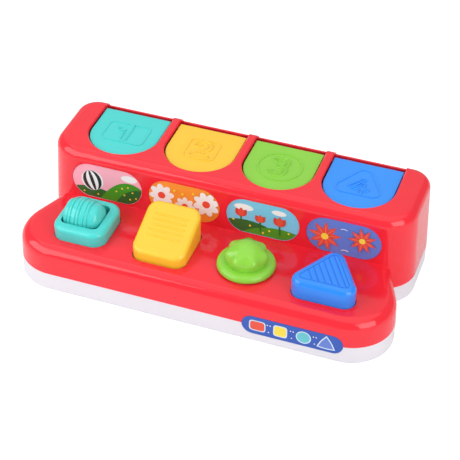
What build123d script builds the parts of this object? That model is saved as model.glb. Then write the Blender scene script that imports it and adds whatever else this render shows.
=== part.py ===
"""Pop-up toy for small children: four hinged lids, each released by its own control.

Millimetres. +X is the toy's right, its front faces -Y and +Z is up. The origin is on the
surface it stands on, under the middle of its box. The lids are closed, the controls at rest.
"""

import os
from math import cos, radians, sin, sqrt, tan

from build123d import *

# Case: a tall rear block and a lower front deck on a shallow bottom tray
half_width = 153.5
depth = 158.0
deck_z = 39.6
split_z = 16.4
wall = 2.4
draft = 2.6
block_depth_share = 0.5291
block_front_radius = 28.0
block_back_radius = 20.0
block_edge_radius = 8.5
deck_corner_radius = 35.0
deck_flank_radius = 40.0
deck_flank_angle = 22.0
deck_edge_radius = 9.5
foot_chamfer = 1.2
seam_bevel = 0.5

# Common clearances
overrun = 6.0
seat_gap = 0.3
slide_gap = 0.3
running_gap = 0.05
touch_gap = 0.02

# Stations: places across the case, counted in pitches from the middle
side_margin = 21.5
station_shares = (-1.5, -0.5, 0.5, 1.5)
web_shares = (-2, -1, 0, 1, 2)
web_thickness = 4.6

# Case screws and their posts
screw_radius = 1.4
screw_bite = 10.0
screw_head_radius = 2.8
screw_head_height = 2.0
screw_slot = 0.8
screw_slot_depth = 1.0
screw_well_radius = 3.1
screw_shelf = 7.4
screw_hole_radius = 1.6
post_radius = 4.0
middle_post_radius = 3.6
rear_post_inset = 12.5
rear_post_margin = 21.0
front_post_inset = 17.5

# Lids
lid_margin = 2.0
lid_front_margin = 12.6
lid_back_margin = 11.8
lid_hang_room = 21.8
lid_drop = 2.0
lid_plate = 2.2
lid_rim = 2.0
lid_rim_depth = 12.0
lid_gap = 0.9
lid_edge_radius = 0.7
well_lip = 0.9
well_back_drop = 3.0
emblem_line = 1.3
emblem_height = 0.45
emblem_width_share = 0.645
emblem_radius = 5.0
emblem_triangle_radius = 7.0
emblem_wide_share = 0.72
emblem_center_share = 0.52

# Lid hinge
rod_radius = 1.5
rod_bite = 1.6
hinge_setback = 0.4
hinge_drop = 3.2
knuckle_radius = 3.9
knuckle_length = 8.0
knuckle_offset = 14.0
web_reach = 8.0
web_drop = 8.0

# Floor plate behind each lid
floor_plate = 2.2
floor_inset = 0.5
floor_notch_depth = 2.2

# Lid spring
lid_wire = 0.35
lid_coil_radius = 2.25
lid_coil_pitch = 1.1
lid_coil_turns = 5.5
lid_leg = 12.0

# Animal heads on the open lid: shares are of the lid's length or half width
head_reach = 24.0
head_rise_share = 0.49
head_half_width_share = 0.68
head_half_height_share = 0.346
head_half_depth = 14.5
head_wall = 2.2
neck_radius = 11.0
ear_spread_share = 0.435
ear_rise_share = 0.27
ear_back = 5.0
ear_radius = 6.5
ear_height = 9.0
muzzle_radius = 6.0
muzzle_drop = 6.0

# Stickers on the block's front face and the label over the front seam
panel_spacing = 5.3
panel_height_share = 0.967
panel_rise_share = 0.497
panel_recess = 0.9
panel_margin = 0.2
sticker_thickness = 0.35
label_width_share = 1.22
label_height = 17.2
label_wrap = 4.6
label_recess = 0.5
label_margin = 0.15

# Release bars
bar_half_width = 5.0
bar_thickness = 4.0
bar_stroke = 4.0
arm_thickness = 2.5
arm_gap = 0.45
arm_tip = 0.6
arm_slope = 5.0
nose_half_width = 3.0
nose_height = 3.0
nose_tip = 1.2
nose_reach = 2.2
nose_drop = 5.2
window_margin = 0.6
arch_gap_y = 15.7
arch_thickness = 2.5
arch_wall = 3.0
arch_z = 18.0
guide_margin = 17.4
guide_length = 5.0
guide_height = 6.0

# Bar spring
bar_wire = 0.35
bar_coil_radius = 2.5
bar_coil_turns = 6.0
bar_coil_rise = 5.3

# Roller, on the deck
roller_place_share = 0.52
roller_shift = -1.8
roller_size = 44.0
roller_back = 2.2
roller_corner = 11.0
roller_rise = 11.6
roller_edge = 3.6
roller_flange = 3.0
roller_flange_thickness = 2.0
roller_side = 4.7
roller_far_side = 7.4
roller_end = 6.3
roller_slot_shift = 1.3
roller_slot_radius = 5.0
drum_gap = 0.7
drum_taper = 2.6
drum_side_gap = 0.9
drum_axis_rise = 9.2
drum_ring_shares = (-0.27, 0, 0.27)
drum_ring = 2.4
drum_groove = 1.0
drum_groove_depth = 0.8
drum_edge = 1.8
cap_reach = 4.3
cap_flat_share = 0.38
cap_bulge_share = 0.75
axle_radius = 1.5
axle_bite = 3.0
crank_share = 0.467
crank_pin_radius = 1.5
crank_pin_length = 4.2
fork_room = 6.0
fork_gap = 1.2
fork_thickness = 2.6
fork_half_depth = 5.0
fork_overlap = 3.2
pin_play = 0.35

# Press key: heights are from the deck's top
key_width_share = 0.667
key_front_margin = 16.0
key_back_margin = 10.9
key_front_rise = 8.6
key_back_rise = 26.4
key_foot_drop = 8.6
key_wall = 2.4
key_corner = 9.0
key_edge = 3.5
key_gap = 1.4
key_pin_setback = 7.0
key_pin_drop = 4.6
key_pin_radius = 1.5
key_lug = 3.0
key_lug_gap = 2.0
key_lug_half_depth = 4.0
key_leg_half_width = 4.0
key_leg_thickness = 4.0
key_leg_gap = 2.8
key_stop_reach = 3.4
key_stop_thickness = 2.4
key_stop_half_width = 14.0
tab_thickness = 3.0
tab_height = 8.0

# Twist knob: heights are from the deck's top
knob_place_share = 0.511
knob_radius = 23.0
knob_skirt = 5.5
knob_skirt_edge = 2.0
knob_dome_radius = 15.5
knob_dome_rise = 6.9
knob_lobes = 7
knob_lobe_radius = 7.2
knob_lobe_circle = 10.0
knob_lobe_rise = 10.9
knob_float = 0.5
knob_shaft_radius = 5.0
knob_boss_radius = 8.0
knob_boss_length = 4.0
crank_disc_radius = 10.5
crank_disc_thickness = 4.4
crank_disc_gap = 0.2
knob_turn = 45.0
knob_pin_radius = 2.0
knob_pin_length = 6.0
knob_screw_radius = 1.5
knob_screw_length = 9.0
knob_screw_head_radius = 3.0
knob_screw_head_height = 2.0
knob_screw_sink = 2.3
tower_wall = 3.0
tower_gap = 0.6
tower_half_width = 4.5
tower_depth = 10.0

# Push button
button_front_margin = 15.3
button_side_share = 0.43
button_corner = 9.0
button_rise = 16.4
button_edge = 4.8
button_wall = 2.3
button_gap = 0.5
button_flange = 2.2
button_flange_thickness = 2.0
button_lip = 2.4
button_lip_height = 0.6
button_field_inset = 5.6
button_groove = 1.0
button_groove_depth = 0.6
button_grooves = 7
leg_half_width = 4.0
leg_setback = 8.3
leg_thickness = 6.0
leg_gap = 5.3
ramp_rise = 15.0

# Places worked out from the sizes above: the case
front_y = -depth / 2
back_y = depth / 2
block_front_y = back_y - depth * block_depth_share
deck_depth = block_front_y - front_y
deck_under_z = deck_z - wall
lean = tan(radians(draft))
pitch = (half_width - side_margin) / web_shares[-1]
stations = [share * pitch for share in station_shares]

# Lids, hinge and heads
lid_half_width = (pitch - web_thickness) / 2 - lid_margin
lid_front_y = block_front_y + lid_front_margin
lid_back_y = back_y - lid_back_margin
lid_length = lid_back_y - lid_front_y
lid_round_y = lid_front_y + lid_half_width
top_z = lid_length + lid_hang_room
lid_top_z = top_z - lid_drop
hinge_y = lid_back_y + hinge_setback
hinge_z = lid_top_z - lid_plate - hinge_drop
hinge_axis = Axis((0, hinge_y, hinge_z), (1, 0, 0))
floor_back_y = hinge_y - hinge_drop
swing_back_y = hinge_y + lid_top_z - hinge_z + lid_gap
emblem_width = 2 * lid_half_width * emblem_width_share
head_rise = lid_length * head_rise_share
head_half_height = lid_length * head_half_height_share
head_half_width = lid_half_width * head_half_width_share
ear_spread = lid_half_width * ear_spread_share
ear_rise = lid_length * ear_rise_share

# Stickers, label and screws
face_height = top_z - block_edge_radius - deck_z
panel_width = pitch - panel_spacing
panel_height = face_height * panel_height_share
panel_z = deck_z + face_height * panel_rise_share
label_width = pitch * label_width_share
label_x = half_width - deck_corner_radius + label_wrap - label_width / 2
screw_well_depth = split_z - screw_shelf
rear_post_x = half_width - rear_post_inset
rear_post_y = back_y - rear_post_margin
front_post_x = half_width - front_post_inset
front_post_y = front_y + deck_corner_radius

# Release bars
bar_z = wall + seat_gap
bar_top_z = bar_z + bar_thickness
bar_coil_z = bar_top_z + bar_coil_rise
arm_back_y = lid_front_y - arm_gap - seat_gap
arm_front_y = arm_back_y - arm_thickness
arch_back_y = arm_front_y - arch_gap_y
guide_back_y = block_front_y - guide_margin
nose_z = lid_top_z - nose_drop

# Controls
roller_y = front_y + deck_depth * roller_place_share
roller_slot_y = roller_y + roller_slot_shift
roller_top_z = deck_z + roller_rise
roller_slot_width = roller_size - roller_side - roller_far_side
roller_slot_x = (roller_side - roller_far_side) / 2
roller_slot_depth = roller_size - 2 * roller_end
drum_axis_z = deck_z + drum_axis_rise
drum_radius = roller_slot_depth / 2 - drum_gap
drum_end_radius = drum_radius - drum_taper
crank_radius = drum_radius * crank_share
drum_length = roller_slot_width - fork_room
key_half_width = pitch * key_width_share / 2
key_front_y = front_y + key_front_margin
key_back_y = block_front_y - key_back_margin
key_front_z = deck_z + key_front_rise
key_back_z = deck_z + key_back_rise
key_foot_z = deck_z - key_foot_drop
key_pin_y = key_front_y + key_pin_setback
key_pin_z = deck_z - key_pin_drop
knob_y = front_y + deck_depth * knob_place_share
knob_dome_z = deck_z + knob_dome_rise
knob_lobe_z = deck_z + knob_lobe_rise
knob_pin_circle = bar_stroke / 2 / sin(radians(knob_turn / 2))
button_front_y = front_y + button_front_margin
button_side = deck_depth * button_side_share
button_height = button_side * sqrt(3) / 2
button_middle_y = button_front_y + button_corner + button_height / 3
button_top_z = deck_z + button_rise
leg_back_y = button_middle_y + leg_setback
leg_tip_z = bar_top_z + leg_gap


def box(x0, x1, y0, y1, z0, z1):
    """Block between two values on each axis."""
    block = Box(x1 - x0, y1 - y0, z1 - z0)
    return Pos((x0 + x1) / 2, (y0 + y1) / 2, (z0 + z1) / 2) * block


def rod_x(radius, x0, x1, y, z):
    """Round bar along X."""
    return Pos((x0 + x1) / 2, y, z) * Rot(0, 90, 0) * Cylinder(radius, x1 - x0)


def rod_z(radius, x, y, z0, z1):
    """Round bar along Z."""
    return Pos(x, y, (z0 + z1) / 2) * Cylinder(radius, z1 - z0)


def raised(sheet, z0, z1, taper=0):
    """Prism of a flat outline between two heights."""
    return extrude(Pos(0, 0, z0) * sheet, z1 - z0, taper=taper)


def side_prism(points, x0, x1):
    """Prism along X of an outline given as (y, z) points."""
    outline = Plane.YZ * make_face(Polyline(*points, close=True))
    return extrude(Pos(x0, 0, 0) * outline, x1 - x0)


def face_y(z):
    """Outer front face of the rear block at a height."""
    return block_front_y + (z - split_z) * lean


def save(shape, node):
    """Write one node."""
    export_step(shape, f"parts/{node}.step")


# Case outlines
def block_plan(inset):
    """Rear block seen from above, at the height of the seam."""
    low = block_front_y + inset
    high = back_y - inset
    sheet = Pos(0, (low + high) / 2) * Rectangle(2 * (half_width - inset), high - low)
    sheet = fillet(sheet.vertices().sort_by(Axis.Y)[:2], block_front_radius - inset)
    return fillet(sheet.vertices().sort_by(Axis.Y)[-2:], block_back_radius - inset)


def deck_plan(inset):
    """Front deck from above: round front corners, flanks that draw in to the waist."""
    middle_y = front_y + deck_corner_radius
    corner_x = half_width - deck_corner_radius
    flank_x = half_width - deck_flank_radius
    turn = radians(deck_flank_angle)
    front = Line((0, front_y + inset), (corner_x, front_y + inset))
    corner = CenterArc((corner_x, middle_y), deck_corner_radius - inset, -90, 90)
    flank = CenterArc((flank_x, middle_y), deck_flank_radius - inset, 0, deck_flank_angle)
    tail_y = block_front_y + block_front_radius
    start = flank @ 1
    run = (tail_y - start.Y) / cos(turn)
    tail = Line(start, (start.X - run * sin(turn), tail_y))
    back = Line(tail @ 1, (0, tail_y))
    half = [front, corner, flank, tail, back]
    other = [mirror(edge, Plane.YZ) for edge in half]
    return make_face(half + other)


def case_body(inset):
    """Solid of the case above the seam, drawn in by an inset on every side."""
    block = raised(block_plan(inset), split_z, top_z - inset, draft)
    block = fillet(block.faces().sort_by(Axis.Z)[-1].edges(), block_edge_radius - inset)
    deck = raised(deck_plan(inset), split_z, deck_z - inset, draft)
    rim = deck.faces().sort_by(Axis.Z)[-1].edges().sort_by(Axis.Y)[:-1]
    deck = fillet(rim, deck_edge_radius - inset)
    return block + deck


# Lids and what moves with them
def lid_plan(inset, end_y):
    """Lid from above: straight back edge and sides, half-round front."""
    radius = lid_half_width - inset
    straight = Pos(0, (lid_round_y + end_y) / 2) * Rectangle(2 * radius, end_y - lid_round_y)
    front = Circle(radius) & Pos(0, -radius / 2) * Rectangle(2 * radius, radius)
    return straight + Pos(0, lid_round_y) * front


def triangle(side, corner):
    """Rounded triangle round the middle of its height, with its apex to the back."""
    height = side * sqrt(3) / 2
    points = [(-side / 2, -height / 3), (side / 2, -height / 3), (0, 2 * height / 3)]
    return offset(make_face(Polyline(*points, close=True)), corner)


def emblem(kind):
    """Outline shape raised on a lid, as a flat ring."""
    wide = emblem_width * emblem_wide_share
    inner = emblem_radius - emblem_line
    trim = 2 * emblem_line
    if kind == "bar":
        return RectangleRounded(emblem_width, wide, emblem_radius) - RectangleRounded(
            emblem_width - trim, wide - trim, inner
        )
    if kind == "square":
        return RectangleRounded(wide, wide, emblem_radius) - RectangleRounded(
            wide - trim, wide - trim, inner
        )
    if kind == "circle":
        return Circle(emblem_width / 2) - Circle(emblem_width / 2 - emblem_line)
    side = emblem_width - 2 * emblem_triangle_radius
    return triangle(side, emblem_triangle_radius) - triangle(side, emblem_triangle_radius - emblem_line)


def make_lid(kind):
    """Lid with its deep rim, latch window, hinge knuckles and raised outline shape."""
    under_z = lid_top_z - lid_plate
    rim_end_y = floor_back_y - floor_plate - seat_gap
    plate = raised(lid_plan(0, lid_back_y), under_z, lid_top_z)
    plate = fillet(plate.faces().sort_by(Axis.Z)[-1].edges(), lid_edge_radius)
    rim = raised(lid_plan(0, rim_end_y), lid_top_z - lid_rim_depth, under_z)
    rim -= raised(lid_plan(lid_rim, rim_end_y + overrun), lid_top_z - lid_rim_depth - overrun, under_z)
    half_window = nose_half_width + window_margin
    window_y = lid_front_y + lid_rim + window_margin
    rim -= box(-half_window, half_window, lid_front_y - overrun, window_y,
               nose_z - nose_height / 2 - window_margin, nose_z + nose_height / 2 + window_margin)
    lid = plate + rim
    for side in (-1, 1):
        ends = sorted((side * knuckle_offset, side * (knuckle_offset + knuckle_length)))
        lid += rod_x(knuckle_radius, ends[0], ends[1], hinge_y, hinge_z)
    lid -= rod_x(rod_radius + running_gap, -lid_half_width, lid_half_width, hinge_y, hinge_z)
    shape_y = lid_front_y + lid_length * emblem_center_share
    return lid + raised(Pos(0, shape_y) * emblem(kind), lid_top_z - emblem_height, lid_top_z + emblem_height)


def make_floor():
    """Floor plate that hangs behind the closed lid's figure, drawn open and then swung down."""
    top = hinge_z + hinge_drop + floor_plate
    root_y = hinge_y + hinge_drop
    plate = raised(lid_plan(floor_inset, root_y), top - floor_plate, top)
    tip_y = lid_front_y + floor_inset
    notch = nose_half_width + window_margin
    plate -= box(-notch, notch, tip_y - overrun, tip_y + floor_notch_depth, 0, top + overrun)
    for side in (-1, 1):
        outer = knuckle_offset + knuckle_length + seat_gap
        ends = sorted((side * (knuckle_offset - seat_gap), side * outer))
        plate -= rod_x(knuckle_radius + seat_gap, ends[0], ends[1], hinge_y, hinge_z)
        plate -= box(ends[0], ends[1], hinge_y, root_y + overrun, 0, top + overrun)
    return plate.rotate(hinge_axis, 90)


def make_figure(ears):
    """Animal head on its neck, drawn on the open lid and then swung down with it."""
    center_y = hinge_y - head_reach
    center_z = hinge_z + head_rise
    floor_z = hinge_z + hinge_drop + floor_plate
    head = scale(Sphere(1), by=(head_half_width, head_half_depth, head_half_height))
    figure = Pos(0, center_y, center_z) * head
    figure += rod_z(neck_radius, 0, center_y, floor_z, center_z)
    muzzle = Pos(0, center_y - head_half_depth + muzzle_radius / 2, center_z - muzzle_drop)
    figure += muzzle * Sphere(muzzle_radius)
    for side in (-1, 1):
        place = Pos(side * ear_spread, center_y + ear_back, center_z + ear_rise)
        if ears == "pointed":
            ear = place * Cone(ear_radius, ear_radius / 3, ear_height)
        else:
            ear = place * Sphere(ear_radius)
        figure += ear
    inside = (head_half_width - head_wall, head_half_depth - head_wall, head_half_height - head_wall)
    figure -= Pos(0, center_y, center_z) * scale(Sphere(1), by=inside)
    figure -= rod_z(neck_radius - head_wall, 0, center_y, floor_z - overrun, center_z)
    return figure.rotate(hinge_axis, 90)


def coil(radius, wire, pitch_length, turns):
    """Wound wire standing on Z, from the +X side."""
    path = Helix(pitch_length, pitch_length * turns, radius)
    section = Plane(origin=path @ 0, z_dir=path % 0) * Circle(wire)
    return sweep(section, path=path)


def make_lid_spring():
    """Torsion spring round the hinge rod: both legs hang down behind the floor plate."""
    length = lid_coil_pitch * lid_coil_turns
    wound = coil(lid_coil_radius, lid_wire, lid_coil_pitch, lid_coil_turns)
    wound = Pos(-length / 2, hinge_y, hinge_z) * Rot(90, 0, 0) * Rot(0, 90, 0) * wound
    for x, side in ((-length / 2, 1), (length / 2, -1)):
        wound += rod_z(lid_wire, x, hinge_y + side * lid_coil_radius, hinge_z - lid_leg, hinge_z)
    return wound


# Release bars, one per station
def make_bar_base(bar_front_y):
    """Flat bar with the upright arm whose nose holds the lid's rim."""
    tip_z = nose_z + nose_height / 2
    points = [(arm_front_y, bar_z), (arm_back_y, bar_z), (arm_back_y, tip_z),
              (arm_back_y - arm_tip, tip_z), (arm_front_y, tip_z - arm_slope)]
    bar = box(-bar_half_width, bar_half_width, bar_front_y, arm_back_y, bar_z, bar_top_z)
    bar += side_prism(points, -bar_half_width, bar_half_width)
    root_y = arm_back_y - arm_tip
    end_y = arm_back_y + nose_reach
    nose = [(root_y, tip_z - nose_height), (end_y, nose_z - nose_tip / 2), (end_y, nose_z + nose_tip / 2),
            (root_y, tip_z)]
    return bar + side_prism(nose, -nose_half_width, nose_half_width)


def drum_right_x():
    """Right end of the drum: it fills its slot's left part and leaves room for the fork."""
    return roller_slot_x - roller_slot_width / 2 + drum_side_gap + drum_length


def make_roller_bar():
    """Bar whose fork stands in the slot's right end round the drum's crank pin."""
    pin_z = drum_axis_z - crank_radius
    fork_x = roller_shift + drum_right_x() + fork_gap
    low_y = roller_slot_y - fork_half_depth
    high_y = roller_slot_y + fork_half_depth
    bar = make_bar_base(low_y)
    bar += box(-bar_half_width, fork_x + fork_thickness, low_y, high_y, bar_z, bar_top_z)
    bar += box(fork_x, fork_x + fork_thickness, low_y, high_y, bar_z, pin_z + fork_overlap)
    half_slot = crank_pin_radius + pin_play
    return bar - box(fork_x - overrun, fork_x + overrun, roller_slot_y - half_slot,
                     roller_slot_y + half_slot, pin_z - half_slot, pin_z + overrun)


def make_key_bar():
    """Bar with the tab that the key's leg pushes."""
    tab_back_y = key_pin_y - key_leg_thickness / 2 - seat_gap
    bar = make_bar_base(tab_back_y - tab_thickness)
    return bar + box(-bar_half_width, bar_half_width, tab_back_y - tab_thickness, tab_back_y,
                     bar_z, bar_top_z + tab_height)


def crank_disc_top():
    """Upper face of the disc under the knob's boss."""
    return deck_under_z - knob_boss_length - crank_disc_gap


def knob_pin_place():
    """Where the knob's crank pin stands at rest, from the knob's axis."""
    half_turn = radians(knob_turn / 2)
    return knob_pin_circle * cos(half_turn), knob_pin_circle * sin(half_turn)


def make_knob_bar():
    """Bar with the cross slot in which the knob's crank pin runs."""
    pin_x, pin_y = knob_pin_place()
    half_slot = knob_pin_radius + tower_gap / 2
    low_y = knob_y + pin_y - half_slot - tower_wall
    high_y = knob_y + pin_y + half_slot + tower_wall
    tower_z = crank_disc_top() - crank_disc_thickness - seat_gap
    bar = make_bar_base(low_y)
    bar += box(-bar_half_width, pin_x + tower_half_width, low_y, high_y, bar_z, bar_top_z)
    bar += box(pin_x - tower_half_width, pin_x + tower_half_width, low_y, high_y, bar_z, tower_z)
    return bar - box(pin_x - tower_half_width - overrun, pin_x + tower_half_width + overrun,
                     low_y + tower_wall, high_y - tower_wall, tower_z - tower_depth, tower_z + overrun)


def make_button_bar():
    """Bar with the 45 degree ramp under the button's leg."""
    gap = seat_gap * sqrt(2)
    foot_y = leg_back_y + leg_tip_z - bar_top_z - gap
    crest_z = bar_top_z + ramp_rise
    crest_y = foot_y - ramp_rise
    low_y = crest_y - bar_thickness
    bar = make_bar_base(low_y)
    points = [(low_y, bar_z), (foot_y, bar_z), (foot_y, bar_top_z), (crest_y, crest_z), (low_y, crest_z)]
    return bar + side_prism(points, -leg_half_width, leg_half_width)


def make_bar_spring():
    """Compression spring between the bottom tray's arch and the bar's arm."""
    length = arm_front_y - arch_back_y - 2 * bar_wire - 2 * touch_gap
    pitch_length = length / bar_coil_turns
    wound = coil(bar_coil_radius, bar_wire, pitch_length, bar_coil_turns)
    return Pos(0, arch_back_y + bar_wire + touch_gap, bar_coil_z) * Rot(-90, 0, 0) * wound


# Roller
def roller_plan(extra):
    """Roller frame from above, grown by an extra on every side: its back wall is the thicker one."""
    plan = RectangleRounded(roller_size + 2 * extra, roller_size + roller_back + 2 * extra, roller_corner)
    return Pos(0, roller_back / 2) * plan


def make_roller_frame():
    """Rounded frame that stands through the deck, with the slot for the drum."""
    low_z = deck_under_z - roller_flange_thickness
    frame = raised(roller_plan(0), low_z, roller_top_z)
    frame = fillet(frame.faces().sort_by(Axis.Z)[-1].edges(), roller_edge)
    frame += raised(roller_plan(roller_flange), low_z, deck_under_z)
    slot = RectangleRounded(roller_slot_width, roller_slot_depth, roller_slot_radius)
    slot = Pos(roller_slot_x, roller_slot_y - roller_y) * slot
    frame -= raised(slot, low_z - overrun, roller_top_z + overrun)
    frame = Pos(0, roller_y, 0) * frame
    half = roller_slot_width / 2 + axle_bite + touch_gap
    bore = rod_x(axle_radius + touch_gap, -half, half, roller_slot_y, drum_axis_z)
    return frame - Pos(roller_slot_x, 0, 0) * bore


def make_drum_cap(half):
    """Upper half of the drum's rounded right end: below it the fork has its room."""
    root = drum_end_radius - drum_edge
    flat = root * cap_flat_share
    tip_x = half + cap_reach
    bulge = (half + cap_reach * cap_bulge_share, flat + (root - flat) * cap_bulge_share)
    outline = [Line((half, 0), (half, root)), ThreePointArc((half, root), bulge, (tip_x, flat)),
               Line((tip_x, flat), (tip_x, 0)), Line((tip_x, 0), (half, 0))]
    return revolve(make_face(outline), Axis.X) & box(half, tip_x, -root, root, 0, root)


def make_drum():
    """Barrel with rings round it, a half cap on its right end, its bore and the crank pin."""
    half = drum_length / 2
    rise = drum_radius - drum_end_radius
    points = [(-half, 0), (-half, drum_end_radius - drum_edge), (-half + drum_edge, drum_end_radius),
              (half - drum_edge, drum_end_radius), (half, drum_end_radius - drum_edge), (half, 0)]
    crown = ThreePointArc(points[2], (0, drum_end_radius + rise), points[3])
    outline = [Line(points[0], points[1]), Line(points[1], points[2]), crown,
               Line(points[3], points[4]), Line(points[4], points[5]), Line(points[5], points[0])]
    drum = revolve(make_face(outline), Axis.X)
    for share in drum_ring_shares:
        for side in (-1, 1):
            x = share * drum_length + side * (drum_ring + drum_groove) / 2
            radius = drum_end_radius + rise * (1 - (x / half) ** 2)
            groove = Cylinder(drum_radius + overrun, drum_groove) - Cylinder(
                radius - drum_groove_depth, drum_groove
            )
            drum -= Pos(x, 0, 0) * Rot(0, 90, 0) * groove
    drum += make_drum_cap(half)
    drum += rod_x(crank_pin_radius, half - drum_edge, half + crank_pin_length, 0, -crank_radius)
    drum -= rod_x(axle_radius + running_gap, -half - overrun, half + cap_reach + overrun, 0, 0)
    return Pos(drum_right_x() - half, roller_slot_y, drum_axis_z) * drum


def make_axle():
    """Steel axle held in the frame's two side walls."""
    half = roller_slot_width / 2 + axle_bite
    return Pos(roller_slot_x, 0, 0) * rod_x(axle_radius, -half, half, roller_slot_y, drum_axis_z)


# Press key
def key_profile(inset):
    """Side of the key as (y, z) points: a slab that rises to the back."""
    slope = (key_back_z - key_front_z) / (key_back_y - key_front_y)
    fall = inset * sqrt(1 + slope * slope)
    low = key_foot_z - (overrun if inset else 0)
    front_edge = key_front_y + inset
    back_edge = key_back_y - inset
    return [(front_edge, low), (front_edge, key_front_z + inset * slope - fall),
            (back_edge, key_back_z - inset * slope - fall), (back_edge, low)]


def make_key():
    """Hollow key with its hinge bore, the leg that pushes its bar and its stop lip."""
    key = side_prism(key_profile(0), -key_half_width, key_half_width)
    key = fillet(key.edges().filter_by(Axis.Z), key_corner)
    top = key.faces().sort_by(Axis.Z)[-1]
    key = fillet(top.edges(), key_edge)
    inner = key_half_width - key_wall
    hollow = side_prism(key_profile(key_wall), -inner, inner)
    hollow = fillet(hollow.edges().filter_by(Axis.Z), key_corner - key_wall)
    key -= hollow
    leg_y = key_pin_y + key_leg_thickness / 2
    leg = box(-key_leg_half_width, key_leg_half_width, leg_y - key_leg_thickness, leg_y,
              bar_top_z + key_leg_gap, key_front_z)
    key += leg
    stop_z = deck_under_z - seat_gap
    key += box(-key_stop_half_width, key_stop_half_width, key_back_y - key_wall,
               key_back_y + key_stop_reach, stop_z - key_stop_thickness, stop_z)
    return key - rod_x(key_pin_radius + running_gap, -key_half_width - overrun,
                       key_half_width + overrun, key_pin_y, key_pin_z)


def key_pin_half():
    """Half length of the key's pin: through the key and both lugs."""
    return key_half_width + key_lug_gap + key_lug


# Twist knob
def make_knob():
    """Lobed knob on a round skirt, with the shaft that runs in the deck's boss."""
    low_z = deck_z + knob_float
    skirt = raised(Circle(knob_radius), low_z, low_z + knob_skirt)
    skirt = fillet(skirt.faces().sort_by(Axis.Z)[-1].edges(), knob_skirt_edge)
    knob = skirt
    dome = Pos(0, 0, knob_dome_z) * Sphere(knob_dome_radius)
    for place in PolarLocations(knob_lobe_circle, knob_lobes):
        dome += place * Pos(0, 0, knob_lobe_z) * Sphere(knob_lobe_radius)
    under = box(-knob_radius, knob_radius, -knob_radius, knob_radius, 0, low_z + knob_skirt / 2)
    knob += dome - under
    knob += rod_z(knob_shaft_radius, 0, 0, crank_disc_top(), low_z)
    screw_z = crank_disc_top() + knob_screw_length
    knob -= rod_z(knob_screw_radius + touch_gap, 0, 0, crank_disc_top() - overrun, screw_z)
    return Pos(0, knob_y, 0) * knob


def make_crank():
    """Disc screwed under the knob's shaft, with its eccentric pin."""
    top = crank_disc_top()
    low = top - crank_disc_thickness
    pin_x, pin_y = knob_pin_place()
    crank = rod_z(crank_disc_radius, 0, knob_y, low, top)
    crank += rod_z(knob_pin_radius, pin_x, knob_y + pin_y, low - knob_pin_length, low)
    crank -= rod_z(knob_screw_head_radius + seat_gap, 0, knob_y, low - overrun, low + knob_screw_sink)
    return crank - rod_z(knob_screw_radius + touch_gap, 0, knob_y, low - overrun, top + overrun)


def make_knob_screw():
    """Screw up through the crank disc into the shaft, with a slotted head."""
    low = crank_disc_top() - crank_disc_thickness + knob_screw_sink
    tip = crank_disc_top() + knob_screw_length - touch_gap
    screw = rod_z(knob_screw_radius, 0, knob_y, low, tip)
    screw += rod_z(knob_screw_head_radius, 0, knob_y, low - knob_screw_head_height, low)
    slot = box(-knob_screw_head_radius, knob_screw_head_radius, knob_y - screw_slot / 2,
               knob_y + screw_slot / 2, low - knob_screw_head_height - overrun,
               low - knob_screw_head_height + screw_slot_depth)
    return screw - slot


# Push button
def button_plan(extra):
    """Button from above, grown by an extra on every side."""
    return Pos(0, button_middle_y) * triangle(button_side, button_corner + extra)


def button_grooves_plan():
    """Grooves of the button's triangular field, parallel to its right edge."""
    field = button_plan(-button_field_inset)
    span = button_height + button_corner
    step = span / (button_grooves + 1)
    border = field - button_plan(-button_field_inset - button_groove / 2)
    lines = border
    for index in range(1, button_grooves + 1):
        shift = span / 2 - index * step
        line = Rot(0, 0, -60) * Pos(0, shift) * Rectangle(2 * button_side, button_groove)
        lines += Pos(0, button_middle_y) * line & field
    return lines


def make_button():
    """Hollow button with its flange under the deck and the leg that drives its bar's ramp."""
    low_z = deck_under_z - seat_gap - button_flange_thickness
    button = raised(button_plan(0), low_z, button_top_z)
    button = fillet(button.faces().sort_by(Axis.Z)[-1].edges(), button_edge)
    button += raised(button_plan(button_flange), low_z, low_z + button_flange_thickness)
    button -= raised(button_plan(-button_wall), low_z - overrun, button_top_z - button_wall)
    for sheet in button_grooves_plan().faces():
        button -= raised(sheet, button_top_z - button_groove_depth, button_top_z + overrun)
    front = leg_back_y - leg_thickness
    roof = button_top_z - button_wall / 2
    points = [(front, roof), (leg_back_y, roof), (leg_back_y, leg_tip_z), (front, leg_tip_z + leg_thickness)]
    return button + side_prism(points, -leg_half_width, leg_half_width)


# Case pieces
def posts():
    """Screw posts as (x, y, radius)."""
    corners = [(side * rear_post_x, rear_post_y, post_radius) for side in (-1, 1)]
    corners += [(side * front_post_x, front_post_y, post_radius) for side in (-1, 1)]
    middle = [(0, rear_post_y, middle_post_radius), (0, front_post_y, middle_post_radius)]
    return corners + middle


def panel_plane(x):
    """Front face of the block at one station, looking out of it."""
    out = Vector(0, -cos(radians(draft)), sin(radians(draft)))
    return Plane(origin=(x, face_y(panel_z), panel_z), x_dir=(1, 0, 0), z_dir=out)


def label_plane():
    """Front wall at the seam, looking out of it, at the bottom of the label's recess."""
    return Plane(origin=(label_x, front_y + label_recess, split_z), x_dir=(1, 0, 0), z_dir=(0, -1, 0))


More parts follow.
